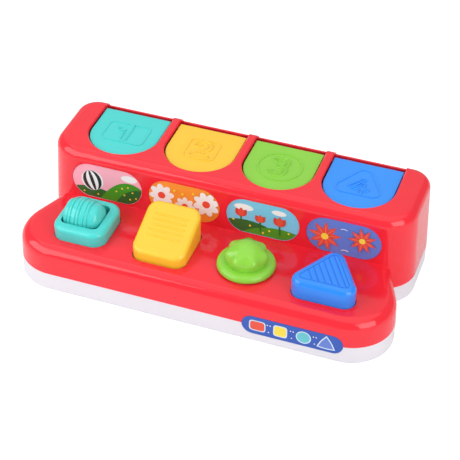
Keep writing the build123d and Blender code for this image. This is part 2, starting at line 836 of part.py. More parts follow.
def make_top_shell():
    """Red shell with lid wells, sticker recesses, control holes, hinge webs and screw posts."""
    outer = case_body(0)
    shell = outer - case_body(wall)
    for share in web_shares:
        x = share * pitch
        web = box(x - web_thickness / 2, x + web_thickness / 2, hinge_y - web_reach, back_y,
                  hinge_z - web_drop, top_z)
        shell += web & outer
    for x, y, radius in posts():
        post = rod_z(radius, x, y, split_z, top_z) & outer
        shell += post - rod_z(screw_radius + touch_gap, x, y, split_z - overrun, split_z + screw_bite)
    x1, x2, x3, x4 = stations
    shell += Pos(x3, knob_y, 0) * rod_z(knob_boss_radius, 0, 0, deck_under_z - knob_boss_length, deck_under_z)
    for side in (-1, 1):
        ends = sorted((side * (key_half_width + key_lug_gap), side * key_pin_half()))
        lug = box(ends[0], ends[1], key_pin_y - key_lug_half_depth, key_pin_y + key_lug_half_depth,
                  key_foot_z, deck_under_z)
        shell += Pos(x2, 0, 0) * lug
    shell += Pos(x4, 0, 0) * raised(button_plan(button_lip), deck_under_z, deck_z + button_lip_height)
    well_top = top_z + overrun
    for x in stations:
        well = raised(lid_plan(-lid_gap, lid_back_y + lid_gap), lid_top_z - lid_rim_depth, well_top)
        lip = raised(lid_plan(-lid_gap, lid_back_y + lid_gap), top_z - well_lip, top_z + well_lip, -45)
        half = lid_half_width + lid_gap
        notch = box(-half, half, lid_round_y, back_y + overrun, lid_top_z - well_back_drop, well_top)
        pocket = box(-half, half, lid_round_y, swing_back_y, lid_top_z - lid_rim_depth, well_top)
        shell -= Pos(x, 0, 0) * (well + lip + notch + pocket)
        shell -= extrude(panel_plane(x).offset(-panel_recess) * SlotOverall(panel_width, panel_height),
                         panel_recess + overrun)
    shell -= extrude(label_plane() * SlotOverall(label_width, label_height), overrun)
    hole = raised(roller_plan(slide_gap), deck_under_z - overrun, deck_z + overrun)
    shell -= Pos(x1 + roller_shift, roller_y, 0) * hole
    key_span = key_back_y - key_front_y + 2 * key_gap
    hole = RectangleRounded(2 * (key_half_width + slide_gap), key_span, key_corner)
    key_middle_y = (key_front_y + key_back_y) / 2
    shell -= Pos(x2, key_middle_y, 0) * raised(hole, deck_under_z - overrun, deck_z + overrun)
    shell -= rod_z(knob_shaft_radius + running_gap, x3, knob_y, deck_under_z - overrun, deck_z + overrun)
    shell -= Pos(x4, 0, 0) * raised(button_plan(button_gap), deck_under_z - overrun, deck_z + overrun)
    shell -= rod_x(rod_radius + touch_gap, -rod_half(), rod_half(), hinge_y, hinge_z)
    return shell - Pos(x2, 0, 0) * rod_x(key_pin_radius + touch_gap, -key_pin_half() - overrun,
                                         key_pin_half() + overrun, key_pin_y, key_pin_z)


def rod_half():
    """Half length of the hinge rod: into both outer webs."""
    return web_shares[-1] * pitch - web_thickness / 2 + rod_bite


def make_bottom_shell():
    """White tray with screw bosses and, at each station, an arch and guides for the bar."""
    outline = block_plan(0) + deck_plan(0)
    tray = raised(outline, 0, split_z)
    tray = chamfer(tray.faces().sort_by(Axis.Z)[0].edges(), foot_chamfer)
    tray = chamfer(tray.faces().sort_by(Axis.Z)[-1].edges(), seam_bevel)
    tray -= raised(block_plan(wall) + deck_plan(wall), wall, split_z + overrun)
    inner = bar_half_width + slide_gap
    for x in stations:
        outer = inner + arch_wall
        arch = box(-outer, outer, arch_back_y - arch_thickness, arch_back_y, wall, arch_z)
        arch -= box(-inner, inner, arch_back_y - overrun, arch_back_y + overrun, wall, bar_top_z + slide_gap)
        for side in (-1, 1):
            ends = sorted((side * inner, side * outer))
            arch += box(ends[0], ends[1], guide_back_y - guide_length, guide_back_y,
                        wall, wall + guide_height)
        tray += Pos(x, 0, 0) * arch
    for x, y, radius in posts():
        tray += rod_z(radius, x, y, 0, split_z)
        tray -= rod_z(screw_hole_radius, x, y, -overrun, split_z + overrun)
        tray -= rod_z(screw_well_radius, x, y, -overrun, screw_well_depth)
    return tray - extrude(label_plane() * SlotOverall(label_width, label_height), overrun)


def make_screws():
    """Case screws, up through the tray's bosses into the top shell's posts."""
    screws = []
    for x, y, _ in posts():
        low = screw_well_depth - screw_head_height
        screw = rod_z(screw_radius, x, y, low, split_z + screw_bite - touch_gap)
        screw += rod_z(screw_head_radius, x, y, low, screw_well_depth)
        for wide, deep in ((screw_head_radius, screw_slot / 2), (screw_slot / 2, screw_head_radius)):
            screw -= box(x - wide, x + wide, y - deep, y + deep, low - overrun, low + screw_slot_depth)
        screws.append(screw)
    return Compound(children=screws)


def make_sticker(x):
    """Sheet in one of the block's recesses."""
    sheet = SlotOverall(panel_width - 2 * panel_margin, panel_height - 2 * panel_margin)
    return extrude(panel_plane(x).offset(-panel_recess) * sheet, sticker_thickness)


def make_label():
    """Sheet over the front seam."""
    sheet = SlotOverall(label_width - 2 * label_margin, label_height - 2 * label_margin)
    return extrude(label_plane() * sheet, label_recess - label_margin)


os.makedirs("parts", exist_ok=True)

save(make_bottom_shell(), "bottom_shell")
save(make_top_shell(), "top_shell")
save(make_screws(), "case_screws")
save(make_label(), "shape_label")
save(rod_x(rod_radius, -rod_half() + touch_gap, rod_half() - touch_gap, hinge_y, hinge_z), "hinge_rod")

emblem_kinds = ("bar", "square", "circle", "triangle")
ear_kinds = ("round", "round", "pointed", "pointed")
bar_makers = (make_roller_bar, make_key_bar, make_knob_bar, make_button_bar)
floor_shape = make_floor()
lid_spring_shape = make_lid_spring()
bar_spring_shape = make_bar_spring()
for number, x in enumerate(stations, 1):
    place = Pos(x, 0, 0)
    save(make_sticker(x), f"panel_sticker_{number}")
    save(place * make_lid(emblem_kinds[number - 1]), f"lid_{number}")
    save(place * floor_shape, f"lid_floor_{number}")
    save(place * make_figure(ear_kinds[number - 1]), f"figure_{number}")
    save(place * lid_spring_shape, f"lid_spring_{number}")
    save(place * bar_makers[number - 1](), f"release_bar_{number}")
    save(place * bar_spring_shape, f"bar_spring_{number}")

roller_x, key_x, knob_x, button_x = stations
roller_x += roller_shift
save(Pos(roller_x, 0, 0) * make_roller_frame(), "roller_frame")
save(Pos(roller_x, 0, 0) * make_drum(), "roller_drum")
save(Pos(roller_x, 0, 0) * make_axle(), "roller_axle")
save(Pos(key_x, 0, 0) * make_key(), "press_key")
key_pin_shape = rod_x(key_pin_radius, -key_pin_half(), key_pin_half(), key_pin_y, key_pin_z)
save(Pos(key_x, 0, 0) * key_pin_shape, "key_pin")
save(Pos(knob_x, 0, 0) * make_knob(), "twist_knob")
save(Pos(knob_x, 0, 0) * make_crank(), "knob_crank")
save(Pos(knob_x, 0, 0) * make_knob_screw(), "knob_screw")
save(Pos(button_x, 0, 0) * make_button(), "push_button")
print("top", top_z, "lid front", lid_front_y, "hinge line", hinge_y, hinge_z)
print("roller", roller_slot_y, drum_axis_z, "key", key_pin_y, key_pin_z, "knob", knob_y, "arch", arch_back_y)
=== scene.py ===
# %% [markdown]
# # A pop-up toy with four lids
#
# The toy is a stepped case of glossy red plastic on a white tray. Four lids lie in the tall rear
# block, and a roller, a key, a knob and a button stand on the deck in front of them. The solids
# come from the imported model. This lesson gives them finishes, and adds what a mould or a printer
# puts on such a toy: numbers, ribs, lobes, faces and stickers.

# %% Load the frame
import math

import bmesh
import bpy
import numpy as np
from mathutils import Matrix, Vector


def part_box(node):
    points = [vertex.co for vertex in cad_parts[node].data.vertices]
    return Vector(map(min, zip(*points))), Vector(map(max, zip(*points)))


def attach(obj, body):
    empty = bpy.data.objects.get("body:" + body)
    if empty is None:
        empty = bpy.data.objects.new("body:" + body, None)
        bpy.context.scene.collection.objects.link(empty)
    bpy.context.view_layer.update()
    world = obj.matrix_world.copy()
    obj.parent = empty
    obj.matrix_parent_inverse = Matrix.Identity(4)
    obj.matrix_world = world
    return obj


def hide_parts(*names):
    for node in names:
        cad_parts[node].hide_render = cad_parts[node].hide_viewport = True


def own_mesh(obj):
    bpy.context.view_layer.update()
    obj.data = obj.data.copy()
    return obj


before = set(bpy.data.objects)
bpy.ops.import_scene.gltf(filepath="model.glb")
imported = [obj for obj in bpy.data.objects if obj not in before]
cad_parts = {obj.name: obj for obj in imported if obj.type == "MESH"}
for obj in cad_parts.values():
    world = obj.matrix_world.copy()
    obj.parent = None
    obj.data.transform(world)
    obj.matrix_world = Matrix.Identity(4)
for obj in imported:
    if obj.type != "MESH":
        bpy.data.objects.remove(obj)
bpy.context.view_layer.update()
MM = 0.001
STATIONS = (1, 2, 3, 4)

# %% [markdown]
# ## Helpers for finishes
#
# A finish is a small tree of shader nodes. Colours are written as they look on a screen and turned
# to the linear light that a shader counts in. Patterns could follow a UV map, but the solids have
# none, so they read Object coordinates, which go along with a piece when its joint moves.

# %% Colour and noise
NOISE_LOW = 0.3
NOISE_HIGH = 0.7
MID_GREY = (128, 128, 128)


def linear(colour):
    """A colour written 0 to 255 as on screen, turned to linear light for a shader."""
    share = np.asarray(colour, float) / 255
    return np.where(share <= 0.04045, share / 12.92, ((share + 0.055) / 1.055) ** 2.4)


def rgba(colour, factor=1.0):
    """Linear colour with alpha, made lighter or darker by a factor."""
    return (*np.clip(linear(colour) * factor, 0, 1).tolist(), 1.0)


def new_material(name):
    """Empty material with its node tree, shader and object coordinates."""
    material = bpy.data.materials.new(name)
    material.use_nodes = True
    nodes = material.node_tree.nodes
    shader = nodes["Principled BSDF"]
    place = nodes.new("ShaderNodeTexCoord")
    return material, nodes, material.node_tree.links, shader, place


def noise(nodes, links, place, scale, detail=3.0):
    """Noise texture on the piece's own coordinates."""
    texture = nodes.new("ShaderNodeTexNoise")
    texture.inputs["Scale"].default_value = scale
    texture.inputs["Detail"].default_value = detail
    links.new(place.outputs["Object"], texture.inputs["Vector"])
    return texture


def vary(nodes, links, texture, low, high):
    """A texture's value, spread between two numbers."""
    spread = nodes.new("ShaderNodeMapRange")
    spread.inputs["From Min"].default_value = NOISE_LOW
    spread.inputs["From Max"].default_value = NOISE_HIGH
    spread.inputs["To Min"].default_value = low
    spread.inputs["To Max"].default_value = high
    links.new(texture.outputs["Fac"], spread.inputs["Value"])
    return spread


print("a screen's mid grey is", round(rgba(MID_GREY)[0], 3), "in linear light")

# %% [markdown]
# ## Moulded plastic
#
# New moulded plastic isn't one flat colour: the pigment is mixed a little unevenly, and the polish
# of the mould varies. One plain shader would look drawn, and a picture of plastic would repeat. So
# three noise textures give it: a broad one moves the colour by a shade, a finer one the roughness,
# and the finest is the skin's bump. The lids are satin, and the case and controls are glossier.

# %% Plastic finishes
PIGMENT_SCALE = 35
POLISH_SCALE = 90
SKIN_SCALE = 1600
SKIN_DETAIL = 2
SKIN_HEIGHT = 0.2 * MM
CASE_GLOSS = (0.08, 0.13)
CONTROL_GLOSS = (0.12, 0.18)
SATIN = (0.3, 0.4)
INNER_POLISH = (0.4, 0.5)
MATT = (0.5, 0.6)


def plastic(name, colour, rough, skin=0.05, spread=0.06):
    """Moulded plastic: colour by a shade, roughness between two values, and a fine skin."""
    material, nodes, links, shader, place = new_material(name)
    pigment = nodes.new("ShaderNodeMix")
    pigment.data_type = "RGBA"
    pigment.inputs["A"].default_value = rgba(colour, 1 - spread)
    pigment.inputs["B"].default_value = rgba(colour, 1 + spread)
    links.new(noise(nodes, links, place, PIGMENT_SCALE).outputs["Fac"], pigment.inputs["Factor"])
    links.new(pigment.outputs["Result"], shader.inputs["Base Color"])
    polish = vary(nodes, links, noise(nodes, links, place, POLISH_SCALE), *rough)
    links.new(polish.outputs["Result"], shader.inputs["Roughness"])
    bump = nodes.new("ShaderNodeBump")
    bump.inputs["Strength"].default_value = skin
    bump.inputs["Distance"].default_value = SKIN_HEIGHT
    grain = noise(nodes, links, place, SKIN_SCALE, SKIN_DETAIL)
    links.new(grain.outputs["Fac"], bump.inputs["Height"])
    links.new(bump.outputs["Normal"], shader.inputs["Normal"])
    return material


RED = plastic("red_gloss", (236, 37, 52), rough=CASE_GLOSS, skin=0.01)
WHITE = plastic("white_tray", (223, 219, 226), rough=SATIN, spread=0.03)
TEAL = plastic("teal_satin", (71, 206, 201), rough=SATIN)
YELLOW = plastic("yellow_satin", (242, 194, 50), rough=SATIN)
GREEN = plastic("green_satin", (136, 204, 62), rough=SATIN)
BLUE = plastic("blue_satin", (44, 144, 244), rough=SATIN)
NATURAL = plastic("natural_inner", (205, 204, 200), rough=INNER_POLISH)
LID_FINISH = dict(zip(STATIONS, (TEAL, YELLOW, GREEN, BLUE)))
CONTROL_COLOURS = ((70, 206, 200), (242, 194, 50), (136, 204, 62), (38, 134, 240))
CONTROL_FINISH = {number: plastic(f"control_gloss_{number}", colour, rough=CONTROL_GLOSS, skin=0.02)
                  for number, colour in zip(STATIONS, CONTROL_COLOURS)}
print("plastics:", [m.name for m in (RED, WHITE, TEAL, YELLOW, GREEN, BLUE, NATURAL)],
      [m.name for m in CONTROL_FINISH.values()])

# %% [markdown]
# ## Drawn steel
#
# The rod, pins, screws and springs are drawn steel. Drawing leaves fine lines along the wire. An
# anisotropic shader would only smear the highlight, so noise that is stretched in one direction
# moves the roughness and the brightness instead.

# %% Steel finish
DRAWN_SCALE = (60, 2400, 2400)
STEEL_DARK = (168, 168, 170)
STEEL_BRIGHT = (205, 205, 208)
STEEL_POLISH = (0.22, 0.4)


def drawn_steel(name):
    """Bright steel with fine lines along X from the drawing die."""
    material, nodes, links, shader, place = new_material(name)
    stretch = nodes.new("ShaderNodeMapping")
    stretch.inputs["Scale"].default_value = DRAWN_SCALE
    links.new(place.outputs["Object"], stretch.inputs["Vector"])
    lines = nodes.new("ShaderNodeTexNoise")
    lines.inputs["Scale"].default_value = 1.0
    links.new(stretch.outputs["Vector"], lines.inputs["Vector"])
    tone = nodes.new("ShaderNodeMix")
    tone.data_type = "RGBA"
    tone.inputs["A"].default_value = rgba(STEEL_DARK)
    tone.inputs["B"].default_value = rgba(STEEL_BRIGHT)
    links.new(lines.outputs["Fac"], tone.inputs["Factor"])
    links.new(tone.outputs["Result"], shader.inputs["Base Color"])
    polish = vary(nodes, links, lines, *STEEL_POLISH)
    links.new(polish.outputs["Result"], shader.inputs["Roughness"])
    shader.inputs["Metallic"].default_value = 1.0
    return material


STEEL = drawn_steel("drawn_steel")
print("steel:", STEEL.name)

# %% [markdown]
# ## Pieces inside the case
#
# Rod, pins, screws, bars and lid springs hardly show, even with the lids open. They could be
# modelled again, but their solids from the model have all that can be seen of them. So these stay,
# and only get a finish.

# %% Finish the inner pieces
def dress(node, material):
    """Gives a solid of the model its finish."""
    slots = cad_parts[node].data.materials
    slots.clear()
    slots.append(material)


for node in ("case_screws", "hinge_rod", "roller_axle", "key_pin", "knob_screw"):
    dress(node, STEEL)
dress("knob_crank", NATURAL)
for number in STATIONS:
    dress(f"release_bar_{number}", NATURAL)
    dress(f"lid_spring_{number}", STEEL)
print("inner pieces finished in steel and natural plastic")

# %% [markdown]
# ## Outer mouldings
#
# Shells, lids, key and button come out of polished moulds. A solid arrives as loose triangles, and
# a glossy skin shows each of them. Modelled again, the pieces might leave the model's sizes. So each
# is a merged copy with smooth shading, sharp only at real edges, and normals weighted by face area:
# it reflects like one moulding.

# %% Copy the outer mouldings
MERGE_GAP = 1e-6
AREA_WEIGHT = 100


def moulded_copy(node, material, body, edge=32):
    """Merged, smooth copy of a solid, sharp where faces meet at more than the edge angle."""
    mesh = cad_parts[node].data.copy()
    form = bmesh.new()
    form.from_mesh(mesh)
    bmesh.ops.remove_doubles(form, verts=form.verts, dist=MERGE_GAP)
    form.to_mesh(mesh)
    form.free()
    if "custom_normal" in mesh.attributes:
        mesh.attributes.remove(mesh.attributes["custom_normal"])
    mesh.shade_smooth()
    mesh.set_sharp_from_angle(angle=math.radians(edge))
    piece = bpy.data.objects.new(node + "_skin", mesh)
    bpy.context.scene.collection.objects.link(piece)
    mesh.materials.clear()
    mesh.materials.append(material)
    weighted = piece.modifiers.new("weighted", "WEIGHTED_NORMAL")
    weighted.keep_sharp = True
    weighted.weight = AREA_WEIGHT
    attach(piece, body)
    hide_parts(node)
    return piece


moulded_copy("top_shell", RED, "housing")
moulded_copy("bottom_shell", WHITE, "housing")
moulded_copy("roller_frame", CONTROL_FINISH[1], "housing")
key_skin = moulded_copy("press_key", CONTROL_FINISH[2], "key")
moulded_copy("push_button", CONTROL_FINISH[4], "button")
for number in STATIONS:
    finish = LID_FINISH[number]
    moulded_copy(f"lid_{number}", finish, f"popup_{number}")
    moulded_copy(f"lid_floor_{number}", finish, f"popup_{number}")
print("outer mouldings copied")

# %% [markdown]
# ## Release bar springs
#
# One end of each release bar's spring rests on the tray, and the other goes with the bar. Left as a
# stiff solid, the spring would run into its bar. Here each is a merged steel copy that stays on the
# housing, with a mesh of its own.

# %% Release bar springs
for number in STATIONS:
    spring = moulded_copy(f"bar_spring_{number}", STEEL, "housing")
    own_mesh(spring)

# %% [markdown]
# ## Surfaces on a grid
#
# Every new piece is one or more grids of points, worked out as whole arrays. Primitives, curves and
# booleans would be another tool for each shape, and a grid is one for all. One function turns a
# list of grids into a mesh: it joins neighbours into quads, closes the seam where a grid wraps
# round, merges the poles, and turns the faces outwards.

# %% Grid meshes
SLIVER = 1e-7


def quads_of(rows, columns, wrap):
    """Corner numbers of the quads of a grid, closed round its columns where it wraps."""
    index = np.arange(rows * columns).reshape(rows, columns)
    if wrap:
        index = np.hstack([index, index[:, :1]])
    corners = (index[:-1, :-1], index[:-1, 1:], index[1:, 1:], index[1:, :-1])
    return np.stack(corners, axis=-1).reshape(-1, 4)


def add_piece(name, grids, materials, body, outward=True, smooth=True):
    """Mesh of grids, each (points, wrap, material number), on a body. Points of nan leave holes."""
    points, faces, finish, start = [], [], [], 0
    for grid, wrap, number in grids:
        rows, columns = grid.shape[:2]
        quads = quads_of(rows, columns, wrap)
        flat = grid.reshape(-1, 3)
        quads = quads[np.isfinite(flat[quads]).all(axis=(1, 2))]
        points.append(np.nan_to_num(flat))
        faces.append(quads + start)
        finish.append(np.full(len(quads), number))
        start += rows * columns
    mesh = bpy.data.meshes.new(name)
    mesh.from_pydata(np.concatenate(points) * MM, [], np.concatenate(faces).tolist())
    mesh.polygons.foreach_set("material_index", np.concatenate(finish).astype(np.int32))
    form = bmesh.new()
    form.from_mesh(mesh)
    unused = [vert for vert in form.verts if not vert.link_faces]
    bmesh.ops.delete(form, geom=unused, context="VERTS")
    bmesh.ops.remove_doubles(form, verts=form.verts, dist=MERGE_GAP)
    bmesh.ops.dissolve_degenerate(form, edges=form.edges, dist=SLIVER)
    if outward:
        bmesh.ops.recalc_face_normals(form, faces=form.faces)
    form.to_mesh(mesh)
    form.free()
    for material in materials:
        mesh.materials.append(material)
    if smooth:
        mesh.shade_smooth()
    piece = bpy.data.objects.new(name, mesh)
    bpy.context.scene.collection.objects.link(piece)
    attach(piece, body)
    return piece


def box_mm(node):
    """Lowest and highest corner of a solid, in millimetres."""
    low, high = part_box(node)
    return np.array(low) / MM, np.array(high) / MM


def middle_mm(node):
    """Middle of a solid's box, in millimetres."""
    low, high = box_mm(node)
    return (low + high) / 2


STATION_X = {number: middle_mm(f"lid_{number}")[0] for number in STATIONS}
print("stations at", {n: round(float(x), 1) for n, x in STATION_X.items()})

# %% [markdown]
# ## Raised pen lines
#
# The numbers on the lids and the ribs on the key are raised lines. A bevelled curve would lie on
# the skin like a wire. A fine grid whose height follows the distance from the line has the soft
# flanks that a mould leaves, and its edge ends just under the skin, so that no gap shows.

# %% Pen lines
PEN_SINK = 0.1
PEN_STEP = 0.14
PEN_POINTS = 150


def arc(centre, radius, start, stop, count=40):
    """Points on an arc: centre plus radius times cosine and sine, angles in degrees."""
    angle = np.radians(np.linspace(start, stop, count))
    return np.stack([centre[0] + radius * np.cos(angle), centre[1] + radius * np.sin(angle)], 1)


def along(path, count):
    """Points spaced evenly along a path: x and y interpolated over the length walked."""
    path = np.asarray(path, float)
    length = np.concatenate([[0], np.cumsum(np.hypot(*np.diff(path, axis=0).T))])
    place = np.linspace(0, length[-1], count)
    return np.stack([np.interp(place, length, path[:, 0]), np.interp(place, length, path[:, 1])], 1)


def pen_relief(paths, width, rise, flank, line=None):
    """Grid over pen strokes: with t = (width/2 - distance)/flank, it rises by t*t*(3 - 2t).

    With a line width given, only a band of that width along the strokes' rim stands up.
    """
    pen = np.concatenate([along(path, PEN_POINTS) for path in paths])
    low, high = pen.min(axis=0) - width, pen.max(axis=0) + width
    x, y = np.meshgrid(np.arange(low[0], high[0], PEN_STEP), np.arange(low[1], high[1], PEN_STEP))
    far = np.full(x.shape, np.inf)
    for px, py in pen:
        far = np.minimum(far, np.hypot(x - px, y - py))
    t = np.clip((width / 2 - far) / flank, 0, 1)
    if line is not None:
        t = np.minimum(t, np.clip((far - width / 2 + line) / flank, 0, 1))
    z = (rise + PEN_SINK) * t * t * (3 - 2 * t) - PEN_SINK
    z = np.where(far > width / 2 + 2 * PEN_STEP, np.nan, z)
    return np.stack([x, y, z], axis=-1)


print("pen lines on a grid of", PEN_STEP, "mm")

# %% [markdown]
# ## Numbers on the lids
#
# Each lid has its number inside the outline shape, drawn by a raised line round its edge. A text
# object could give the number, but a few strokes of a broad pen are plainer and rounder. Only a
# narrow band along the rim of the strokes stands up.

# %% Raised numbers
PEN_WIDTHS = {1: 6.2, 2: 5.2, 3: 4.8, 4: 4.4}
PEN_LINE = 1.3
PEN_RISE = 0.9
PEN_FLANK = 0.4
NUMBER_HEIGHT = 18.0
NUMBER_PATHS = {
    1: [[(-0.3, 0.22), (0.05, 0.5)], [(0.05, 0.5), (0.05, -0.5)]],
    2: [np.vstack([arc((0, 0.2), 0.3, 170, -38), [(-0.3, -0.5)]]), [(-0.3, -0.5), (0.34, -0.5)]],
    3: [arc((-0.02, 0.25), 0.25, 155, -90), arc((-0.02, -0.25), 0.28, 90, -155)],
    4: [[(0.1, 0.5), (-0.4, -0.18)], [(-0.4, -0.18), (0.42, -0.18)], [(0.16, 0.16), (0.16, -0.5)]],
}
EMBLEM_SHARE = 0.52
EMBLEM_RISE = 0.45
NUMBER_OFFSET = {1: 0.0, 2: 0.0, 3: 0.0, 4: -2.5}
NUMBER_SCALE = {1: 1.0, 2: 1.0, 3: 1.15, 4: 0.95}

rod_low, rod_high = box_mm("hinge_rod")
hinge_y, hinge_z = ((rod_low + rod_high) / 2)[1:]
for number in STATIONS:
    low, high = box_mm(f"lid_{number}")
    centre_y = low[1] + EMBLEM_SHARE * (hinge_y - low[1]) + NUMBER_OFFSET[number]
    scale = NUMBER_SCALE[number]
    paths = [np.asarray(path) * NUMBER_HEIGHT * scale for path in NUMBER_PATHS[number]]
    sheet = pen_relief(paths, PEN_WIDTHS[number], PEN_RISE, PEN_FLANK, PEN_LINE)
    sheet = sheet + (STATION_X[number], centre_y, high[2] - EMBLEM_RISE)
    add_piece(f"lid_{number}_number", [(sheet, False, 0)], [LID_FINISH[number]], f"popup_{number}",
              outward=False)
print("numbers raised on the lids")

# %% [markdown]
# ## Roller drum
#
# The drum is a barrel with three rings round it, so that a small finger can grip it. Rings added to
# a cylinder would leave hard seams. A profile along the axis, turned about the axle, is one skin: a
# crown at the rings, less between them, and a fine groove at each ring's foot.

# %% Drum profile
DRUM_CROWN = 15.0
DRUM_END = 12.4
DRUM_SHOULDER = 2.4
CAP_REACH = 4.3
RING_SHARES = (-0.27, 0.0, 0.27)
RING_WIDTH = 2.2
RING_POWER = 6
BAND_DEPTH = 0.6
FOOT_WIDTH = 0.7
FOOT_DEPTH = 0.45
AXLE_BORE = 1.55

low, high = box_mm("roller_drum")
drum_left, drum_right = low[0], high[0] - CAP_REACH
drum_half = (drum_right - drum_left) / 2
drum_x = drum_left + drum_half
x = np.linspace(-drum_half, drum_half, 240)
crown = DRUM_END + (DRUM_CROWN - DRUM_END) * (1 - (x / drum_half) ** 2)
off_ring = np.min([np.abs(x - 2 * share * drum_half) for share in RING_SHARES], axis=0)
dip = 1 - np.exp(-((2 * off_ring / RING_WIDTH) ** RING_POWER))
foot = np.exp(-(((off_ring - (RING_WIDTH + FOOT_WIDTH) / 2) * 2 / FOOT_WIDTH) ** 2))
edge = np.clip((drum_half - np.abs(x)) / DRUM_SHOULDER, 0, 1)
shoulder = DRUM_SHOULDER * (1 - np.sqrt(1 - (1 - edge) ** 2))
radius = crown - BAND_DEPTH * dip - FOOT_DEPTH * foot - shoulder
barrel = np.stack([drum_x + x, radius], 1)
profile = np.vstack([[drum_left, AXLE_BORE], barrel, [drum_right, AXLE_BORE]])
tube = np.stack([np.linspace(drum_right, drum_left, 8), np.full(8, AXLE_BORE)], 1)
print("drum from", round(float(drum_left), 1), "to", round(float(drum_right), 1))

# %% [markdown]
# The drum's right end is a rounded cap in the upper half only: below it the release bar's fork has
# room, and a crank pin reaches into the fork. A boolean could halve a round cap. A quarter round
# that is turned by half a turn has the same shape without the cut, and a flat underside closes it.

# %% Roller drum
CAP_FLAT = 4.0
CRANK_RADIUS = 7.0
PIN_RADIUS = 1.5
PIN_LENGTH = 4.2
PIN_ROOT = 1.0
PIN_EDGE = 0.3
SHARP_ANGLE = math.radians(50)


def turned(profile, angle):
    """Profile of (x, radius) turned about X: y is radius times cosine, z radius times sine."""
    x = np.repeat(profile[:, :1], len(angle), axis=1)
    return np.stack([x, profile[:, 1:] * np.cos(angle), profile[:, 1:] * np.sin(angle)], axis=2)


def quarter_round(count):
    """Shares of a quarter circle from side to end: sine along, one less cosine down."""
    angle = np.linspace(0, np.pi / 2, count)
    return np.sin(angle), 1 - np.cos(angle)


axle_y, axle_z = middle_mm("roller_axle")[1:]
whole_turn = np.linspace(0, 2 * np.pi, 120, endpoint=False)
half_turn = np.linspace(0, np.pi, 60)
out, down = quarter_round(24)
cap_start = drum_right - DRUM_SHOULDER
cap_root = radius[np.searchsorted(x, drum_half - DRUM_SHOULDER)]
cap = np.stack([cap_start + (CAP_REACH + DRUM_SHOULDER) * out, cap_root - (DRUM_END - CAP_FLAT) * down], 1)
cap = np.vstack([cap, [high[0], 0]])
underside = np.stack([np.repeat(cap[:, :1], 2, axis=1), cap[:, 1:] * np.array([[-1.0, 1.0]]),
                      np.zeros((len(cap), 2))], axis=2)
pin_end = drum_right + PIN_LENGTH
pin = np.array([(drum_right - PIN_ROOT, PIN_RADIUS), (pin_end - PIN_EDGE, PIN_RADIUS),
                (pin_end, PIN_RADIUS - PIN_EDGE), (pin_end, 0)])
axle_line = (0, axle_y, axle_z)
pin_line = (0, axle_y, axle_z - CRANK_RADIUS)
grids = [(turned(profile, whole_turn) + axle_line, True, 0),
         (turned(tube, whole_turn) + axle_line, True, 0),
         (turned(cap, half_turn) + axle_line, False, 0),
         (underside + axle_line, False, 0),
         (turned(pin, whole_turn[::5]) + pin_line, True, 0)]
drum = add_piece("roller_drum_ringed", grids, [CONTROL_FINISH[1]], "roller")
drum.data.set_sharp_from_angle(angle=SHARP_ANGLE)
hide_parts("roller_drum")
print("drum rings:", len(RING_SHARES))

# %% [markdown]
# ## Twist knob
#
# The knob is a dome with soft lobes that a hand can hold, on a round skirt. Balls joined by a
# boolean would leave creases between the lobes. So the dome's distance from its middle, in each
# direction, is a sphere's plus a smooth bump round every lobe's direction.

# %% Twist knob
KNOB_LOBES = 7
LOBE_TILT = math.radians(22)
LOBE_RISE = 2.6
LOBE_FOCUS = 22.0
DOME_RADIUS = 15.5
DOME_FOOT = -0.12
SKIRT_FOOT = 22.2
SKIRT_PROFILE = ((14.0, 5.6), (17.5, 5.6), (20.0, 5.4), (22.0, 4.6), (23.0, 2.8), (23.0, 0.8),
                 (SKIRT_FOOT, 0.0))
SHAFT_RADIUS = 5.0
SCREW_BORE = 1.52
BORE_DEPTH = 9.0
SKIRT_LIFT = 0.5
FRAME_RISE = 11.6

knob_top = box_mm("twist_knob")[1][2]
knob_x, knob_y = middle_mm("twist_knob")[:2]
crank_top = box_mm("knob_crank")[1][2]
deck_z = box_mm("roller_frame")[1][2] - FRAME_RISE
skirt_z = deck_z + SKIRT_LIFT


def smooth_curve(points, count):
    """Corners cut four times, at a quarter and three quarters of each run, then spaced evenly."""
    points = np.asarray(points, float)
    for _ in range(4):
        first = 0.75 * points[:-1] + 0.25 * points[1:]
        second = 0.25 * points[:-1] + 0.75 * points[1:]
        cut = np.stack([first, second], 1).reshape(-1, 2)
        points = np.vstack([points[:1], cut, points[-1:]])
    return along(points, count)


def spun(profile, angle):
    """Profile of (radius, z) turned about the knob's axis: x and y are radius times cosine and sine."""
    ring, z = profile[:, :1], np.repeat(profile[:, 1:], len(angle), axis=1)
    return np.stack([knob_x + ring * np.cos(angle), knob_y + ring * np.sin(angle), z], axis=2)


angle = np.linspace(0, 2 * np.pi, 168, endpoint=False)
tilt = np.linspace(DOME_FOOT, np.pi / 2, 72)[:, None]
heading = np.stack([np.cos(tilt) * np.cos(angle), np.cos(tilt) * np.sin(angle),
                    np.sin(tilt) + 0 * angle], axis=2)
reach = np.full(heading.shape[:2], DOME_RADIUS)
lobe_out, lobe_up = math.cos(LOBE_TILT), math.sin(LOBE_TILT)
for turn in np.arange(KNOB_LOBES) * 2 * np.pi / KNOB_LOBES:
    lobe = np.array([lobe_out * math.cos(turn), lobe_out * math.sin(turn), lobe_up])
    reach = reach + LOBE_RISE * np.exp(-LOBE_FOCUS * (1 - heading @ lobe))
dome = heading * reach[:, :, None] + (knob_x, knob_y, knob_top - DOME_RADIUS)
skirt = spun(smooth_curve(SKIRT_PROFILE, 40) + (0, skirt_z), angle)
bore_top = crank_top + BORE_DEPTH
neck = np.array([(SKIRT_FOOT, skirt_z), (SHAFT_RADIUS, skirt_z), (SHAFT_RADIUS, crank_top),
                 (SCREW_BORE, crank_top), (SCREW_BORE, bore_top), (0, bore_top)])
grids = [(dome, True, 0), (skirt, True, 0), (spun(neck, angle), True, 0)]
